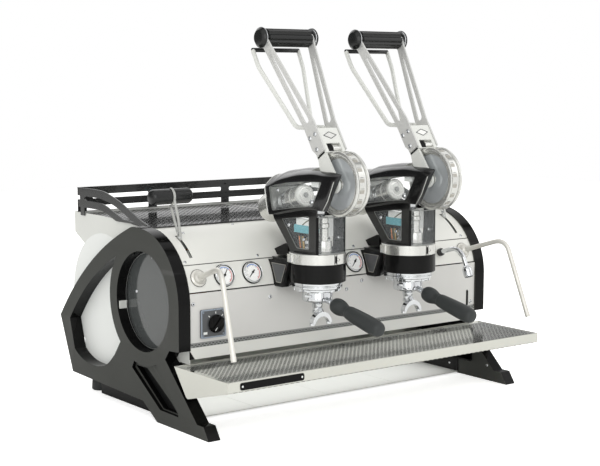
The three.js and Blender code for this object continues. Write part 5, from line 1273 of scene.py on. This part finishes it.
def lever(name, x):
    place = lever_place(x)
    body = f"{name}_lever"
    block = Form()
    window = rounded([(-20.6, 80), (20.4, 80), (20.4, 102), (-20.6, 102)], 1.5)
    face = rounded([(-29.8, 78.4), (29.8, 78.4), (29.8, 142), (28, 144), (-28, 144), (-29.8, 142)], 1)
    block.add(prism([face, window], "y", -19, 19), 0, place)
    ear = [(21 * math.cos(a * RAD), 21 * math.sin(a * RAD)) for a in range(200, 361, 10)]
    ear += [(26, 30), (24, 60), (17, 84), (-13, 84), (-17, 20)]
    bore = ring(0, 0, 8.4, 32)
    for s in SIDES.values():
        block.add(prism([ear, bore], "x", *sorted((s * 23.2, s * 29.8))), 0, place)
        block.add(turned([(8.5, 0), (13, 0), (13.4, 0.6), (13.4, 1.2), (8.5, 1.2)], (s * 29.8, 0, 0),
                         (s, 0, 0), 40, closed=True), 1, place)
    block.add(turned([(0, -2), (8.6, -2), (9.4, -1), (9.4, 12), (8, 13), (8, 16), (9.4, 17), (9.4, 20),
                      (0, 20)], (0, -9, 91), (1, 0, 0), 40), 4, place)
    block.add(slab((-20.4, -3), (-16, 12), (80.4, 101.6)), 2, place)
    block.add(slab((-20.4, 20.2), (8, 12), (80.4, 101.6)), 2, place)
    tilt = place @ Matrix.Translation((0, -19, 123.5))
    badge = rounded([(0, -10), (20.6, 0), (0, 10), (-20.6, 0)], 1.5)
    inner = rounded([(0, -8.2), (17, 0), (0, 8.2), (-17, 0)], 1)
    block.add(prism([badge, inner], "y", -0.9, 0.2), 3, tilt)
    block.add(prism([inner], "y", -0.4, 0.2), 4, tilt)
    make(f"{name}_block_casting", block, body, [PALE, CHROME, PIT, GREY, ALU], f"{name}_lever_block",
         bevel=0.7)

    arms = Form()
    slope = 40.2 / 248
    def inside(t):
        return 30.4 + slope * max(0, t - 165)
    slot = ring(0, 178, 8, 14, 180, 360) + ring(0, 355, 2, 8, 0, 180)
    blade = [(-21.4, 84), (10, 84), (21.4, 105), (21.4, 165), (17.5, 290), (13.4, 385), (13.4, GRIP_REACH)]
    blade += ring(0, GRIP_REACH, 13.4, 10, 0, 180)[1:-1] + [(-13.4, GRIP_REACH), (-13.4, 385), (-17.5, 290),
                                                            (-21.4, 165)]
    for s in SIDES.values():
        spots, faces = prism([blade, slot], "x", 0, 4.2)
        spots = [Vector((s * (inside(p[2]) + p[0]), p[1], p[2])) for p in spots]
        arms.add((spots, faces), 0, place)
        for w, t in ((-9, 133), (13, 134), (4, 98)):
            screw(arms, place @ facing(s * 34.6, w, t, (s, 0, 0)), 5.6, 1, 2)
        arms.add(turned([(0, 0), (23.6, 0), (25, 0.6), (25, 1.8), (23.6, 2.4), (0, 2.4)],
                        (s * 73.6, 0, GRIP_REACH), (s, 0, 0), 56), 1, place)
        arms.add(turned([(0, 0), (24.6, 0), (25.7, 1), (25.7, 2.6), (24.8, 4.4), (19, 9.6), (17.8, 10.6),
                         (16.6, 11), (0, 11)],
                        (s * 75.9, 0, GRIP_REACH), (s, 0, 0), 56), 3, place)
    arms.add(turned([(0, -75), (5.9, -75), (5.9, 75), (0, 75)], (0, 0, GRIP_REACH), (1, 0, 0), 32), 1, place)
    make(f"{name}_arm_plates", arms, body, [BLADE, CHROME, PIT, BAKELITE], f"{name}_lever_arms", bevel=0.5)

    grip = Form()
    section = []
    for k in range(8):
        for u, dip in ((0, 0), (0.12, 0), (0.24, 0), (0.3, 0.35), (0.38, 0.8), (0.5, 1), (0.62, 0.8),
                       (0.7, 0.35), (0.76, 0), (0.88, 0)):
            angle = 2 * math.pi * (k + u) / 8 + 0.5
            r = 22.3 - 3.2 * dip
            section.append((r * math.cos(angle), GRIP_REACH + r * math.sin(angle)))
    ends = [tuple(Vector(p).lerp(Vector((0, GRIP_REACH)), 0.06)) for p in section]
    core = ring(0, GRIP_REACH, 6.4, 24)
    grip.add(prism([section, core], "x", -65, 65), 0, place)
    for s in SIDES.values():
        grip.add(prism([ends, core], "x", *sorted((s * 65, s * 66.6))), 0, place)
    make(f"{name}_grip_sleeve", grip, body, BAKELITE, f"{name}_lever_grip", bevel=0.3)

    release = Form()
    strip = rounded([(-3.4, -5.3), (3.4, -5.3), (3.4, 5.3), (-3.4, 5.3)], 2, 3)
    for s in SIDES.values():
        line = [(s * 24.4, 20, 168), (s * 24.4, 57, 192), (s * 68.6, 58, 365), (s * 70, 54, GRIP_REACH)]
        path = [place @ p for p in route(line, 12)]
        release.add(swept(path, strip, (1, 0, 0)), 0)
        release.add(turned([(0, -5), (4.4, -5), (4.4, 5), (0, 5)], (s * 24.9, 20, 168), (1, 0, 0), 32), 0,
                    place)
    release.add(turned([(0, -72), (4.8, -72), (5.4, -71), (5.4, 71), (4.8, 72), (0, 72)], (0, 54, GRIP_REACH),
                       (1, 0, 0), 40), 1, place)
    make(f"{name}_release_frame", release, f"{name}_release", [PALE, BAKELITE], f"{name}_release_lever",
         bevel=0.3)


def portafilter(name, x):
    body = f"{name}_filter_holder"
    axis = (x, GROUP_Y, 0)
    form = Form()
    form.add(turned([(0, 256), (12.4, 256), (13, 257), (13, 262), (11.6, 264), (11.6, 270), (13, 272),
                     (14, 280), (20, 284.4),
                     (30, 285.4), (35.6, 287.6), (38, 291), (38, 306), (37, 308), (37, 311), (38, 312), (38,
                                                                                                         313.2), (0, 313.2)],
                    axis, sides=80))
    for s in SIDES.values():
        turn = Matrix.Translation(axis) @ Matrix.Rotation((20 + 90 * (s + 1)) * RAD, 4, "Z")
        form.add(slab((36, 43), (-9, 9), (300, 306)), 0, turn)
    arch = ring(x, 233, 29, 40, 0, 180) + ring(x, 227, 23, 36, 165, 15)
    form.add(prism([arch], "y", GROUP_Y - 22, GROUP_Y - 6), 0)
    for s in SIDES.values():
        form.add(turned([(5.4, 0), (7, 0), (7, 6), (5.4, 6)], (x + s * 25.6, GROUP_Y - 14, 229.4), (0, 0, 1),
                        28, closed=True), 0)
    form.add(turned([(0, 0), (9.5, 0), (10, 1), (9, 9), (8, 12), (0, 12)], (x, GROUP_Y - 14, 256),
                    (0, 0.6, 1), 28), 0)
    down = Vector((0, -math.cos(12.7 * RAD), -math.sin(12.7 * RAD)))
    neck_end = Vector((x, -17, 287))
    form.add(turned([(0, -66), (13, -66), (12, -56), (8, -44), (7.2, -30), (7.4, -12), (9.4, -8), (10.6, -3),
                     (10.6, -0.4), (0, -0.4)],
                    neck_end, down, 48), 0)
    make(f"{name}_filter_body", form, body, CHROME, f"{name}_portafilter", bevel=0.5)
    handle = Form()
    profile = [(0, 0), (10, 0), (14, 1), (17.6, 5), (19.4, 11), (20, 18), (19.6, 26), (17.8, 34), (15.6, 41),
               (14.8, 47), (15, 54),
               (16.2, 58), (16.6, 60), (17.2, 66), (18.2, 84), (19.2, 110), (19.8, 136), (19.4, 156), (18,
                                                                                                       168), (15, 174.5),
               (10, 177.4), (0, 178)]
    line = smooth_line([(r, h, 0) for r, h in profile[:-1]], 3)
    handle.add(turned([(max(r, 0), h) for r, h, _ in line] + [(0, 178)], neck_end, down, 64))
    make(f"{name}_handle_rubber", handle, body, RUBBER, f"{name}_portafilter_handle")


for name, side in SIDES.items():
    group(name, side)


# Studio: the solved camera, the floor, the world and the lamps
def studio():
    scene = bpy.context.scene
    az, el, roll = (turn * RAD for turn in CAMERA_TURNS)
    back = Vector((math.sin(az) * math.cos(el), -math.cos(az) * math.cos(el), math.sin(el)))
    right = (-back).cross(Vector((0, 0, 1))).normalized()
    up = right.cross(-back)
    right, up = right * math.cos(roll) + up * math.sin(roll), up * math.cos(roll) - right * math.sin(roll)
    data = bpy.data.cameras.new("photo_camera")
    data.lens = FOCAL_PIXELS * SENSOR / PHOTO_WIDTH
    data.clip_end = 100
    camera = bpy.data.objects.new("photo_camera", data)
    camera.matrix_world = Matrix.Translation(at(*CAMERA)) @ Matrix((right, up, back)).transposed().to_4x4()
    scene.collection.objects.link(camera)
    scene.camera = camera

    floor = bpy.data.materials.new("floor")
    floor.use_nodes = True
    tree = floor.node_tree
    shader = tree.nodes["Principled BSDF"]
    shader.inputs["Base Color"].default_value = (0.94, 0.94, 0.94, 1)
    shader.inputs["Roughness"].default_value = 0.8
    path = tree.nodes.new("ShaderNodeLightPath")
    seen = tree.nodes.new("ShaderNodeMath")
    seen.operation = "MULTIPLY"
    seen.inputs[1].default_value = 0.65
    tree.links.new(path.outputs["Is Camera Ray"], seen.inputs[0])
    shader.inputs["Emission Color"].default_value = (1, 1, 1, 1)
    tree.links.new(seen.outputs["Value"], shader.inputs["Emission Strength"])
    mesh = bpy.data.meshes.new("floor")
    mesh.from_pydata([(-6, -6, -0.0005), (6, -6, -0.0005), (6, 6, -0.0005), (-6, 6, -0.0005)], [],
                     [(0, 1, 2, 3)])
    mesh.materials.append(floor)
    ground = bpy.data.objects.new("floor", mesh)
    scene.collection.objects.link(ground)

    world = bpy.data.worlds.new("studio")
    scene.world = world
    world.use_nodes = True
    tree = world.node_tree
    tree.nodes.clear()
    out = tree.nodes.new("ShaderNodeOutputWorld")
    soft = tree.nodes.new("ShaderNodeBackground")
    soft.inputs["Color"].default_value = (1, 1, 0.975, 1)
    soft.inputs["Strength"].default_value = 0.95
    shown = tree.nodes.new("ShaderNodeBackground")
    shown.inputs["Strength"].default_value = 1
    coords = tree.nodes.new("ShaderNodeTexCoord")
    radial = tree.nodes.new("ShaderNodeTexGradient")
    radial.gradient_type = "RADIAL"
    tree.links.new(coords.outputs["Generated"], radial.inputs["Vector"])
    ramp = tree.nodes.new("ShaderNodeValToRGB")
    stops = ((0.0, 1), (0.13, 1), (0.14, 0.1), (0.154, 0.1), (0.164, 1), (0.26, 1), (0.275, 0.3), (0.29, 0.9),
             (0.4, 1), (0.45, 1),
             (0.465, 0.1), (0.49, 0.1), (0.51, 0.9), (0.6, 1), (0.62, 0.25), (0.64, 0.9), (0.76, 0.7), (0.8,
                                                                                                        0.14), (0.9, 0.14),
             (0.925, 0.9), (0.94, 0.9), (0.95, 0.1), (0.962, 0.1), (0.975, 0.95), (1.0, 1))
    while len(ramp.color_ramp.elements) < len(stops):
        ramp.color_ramp.elements.new(0.5)
    for element, (spot, value) in zip(ramp.color_ramp.elements, stops):
        element.position = spot
        element.color = (value, value, value, 1)
    tree.links.new(radial.outputs["Fac"], ramp.inputs["Fac"])
    path = tree.nodes.new("ShaderNodeLightPath")
    pick = tree.nodes.new("ShaderNodeMix")
    pick.data_type = "RGBA"
    pick.inputs["B"].default_value = (1, 1, 1, 1)
    tree.links.new(path.outputs["Is Camera Ray"], pick.inputs["Factor"])
    tree.links.new(ramp.outputs["Color"], pick.inputs["A"])
    tree.links.new(pick.outputs["Result"], shown.inputs["Color"])
    rays = tree.nodes.new("ShaderNodeMath")
    rays.operation = "MAXIMUM"
    tree.links.new(path.outputs["Is Camera Ray"], rays.inputs[0])
    more = tree.nodes.new("ShaderNodeMath")
    more.operation = "MAXIMUM"
    tree.links.new(path.outputs["Is Glossy Ray"], more.inputs[0])
    tree.links.new(path.outputs["Is Transmission Ray"], more.inputs[1])
    tree.links.new(more.outputs["Value"], rays.inputs[1])
    mix = tree.nodes.new("ShaderNodeMixShader")
    tree.links.new(rays.outputs["Value"], mix.inputs["Fac"])
    tree.links.new(soft.outputs["Background"], mix.inputs[1])
    tree.links.new(shown.outputs["Background"], mix.inputs[2])
    tree.links.new(mix.outputs["Shader"], out.inputs["Surface"])

    aim = Vector((0, 0, 0.35))
    for spot, size, watts in (((-2.0, -3.0, 1.5), 2.6, 30), ((2.6, -1.6, 2.0), 2.2, 8),
                              ((0.4, 2.6, 2.8), 2.6, 14)):
        lamp = bpy.data.lights.new("softbox", "AREA")
        lamp.size = size
        lamp.energy = watts
        holder = bpy.data.objects.new("softbox", lamp)
        holder.location = spot
        holder.rotation_euler = (aim - Vector(spot)).to_track_quat("-Z", "Y").to_euler()
        scene.collection.objects.link(holder)
    bounce = bpy.data.lights.new("floor_bounce", "AREA")
    bounce.shape = "RECTANGLE"
    bounce.size, bounce.size_y = 0.9, 0.36
    bounce.energy = 0.9
    holder = bpy.data.objects.new("floor_bounce", bounce)
    holder.location = at(0, 368, 41.5)
    scene.collection.objects.link(holder)
    for x in (-GROUP_X, GROUP_X):
        for y, z in ((70, 568), (60, 494)):
            lamp = bpy.data.lights.new("head_light", "AREA")
            lamp.size = 0.05
            lamp.energy = HEAD_WATTS
            holder = bpy.data.objects.new("head_light", lamp)
            holder.location = at(x - 6, y, z)
            scene.collection.objects.link(holder)
    scene.view_settings.view_transform = "Standard"


studio()
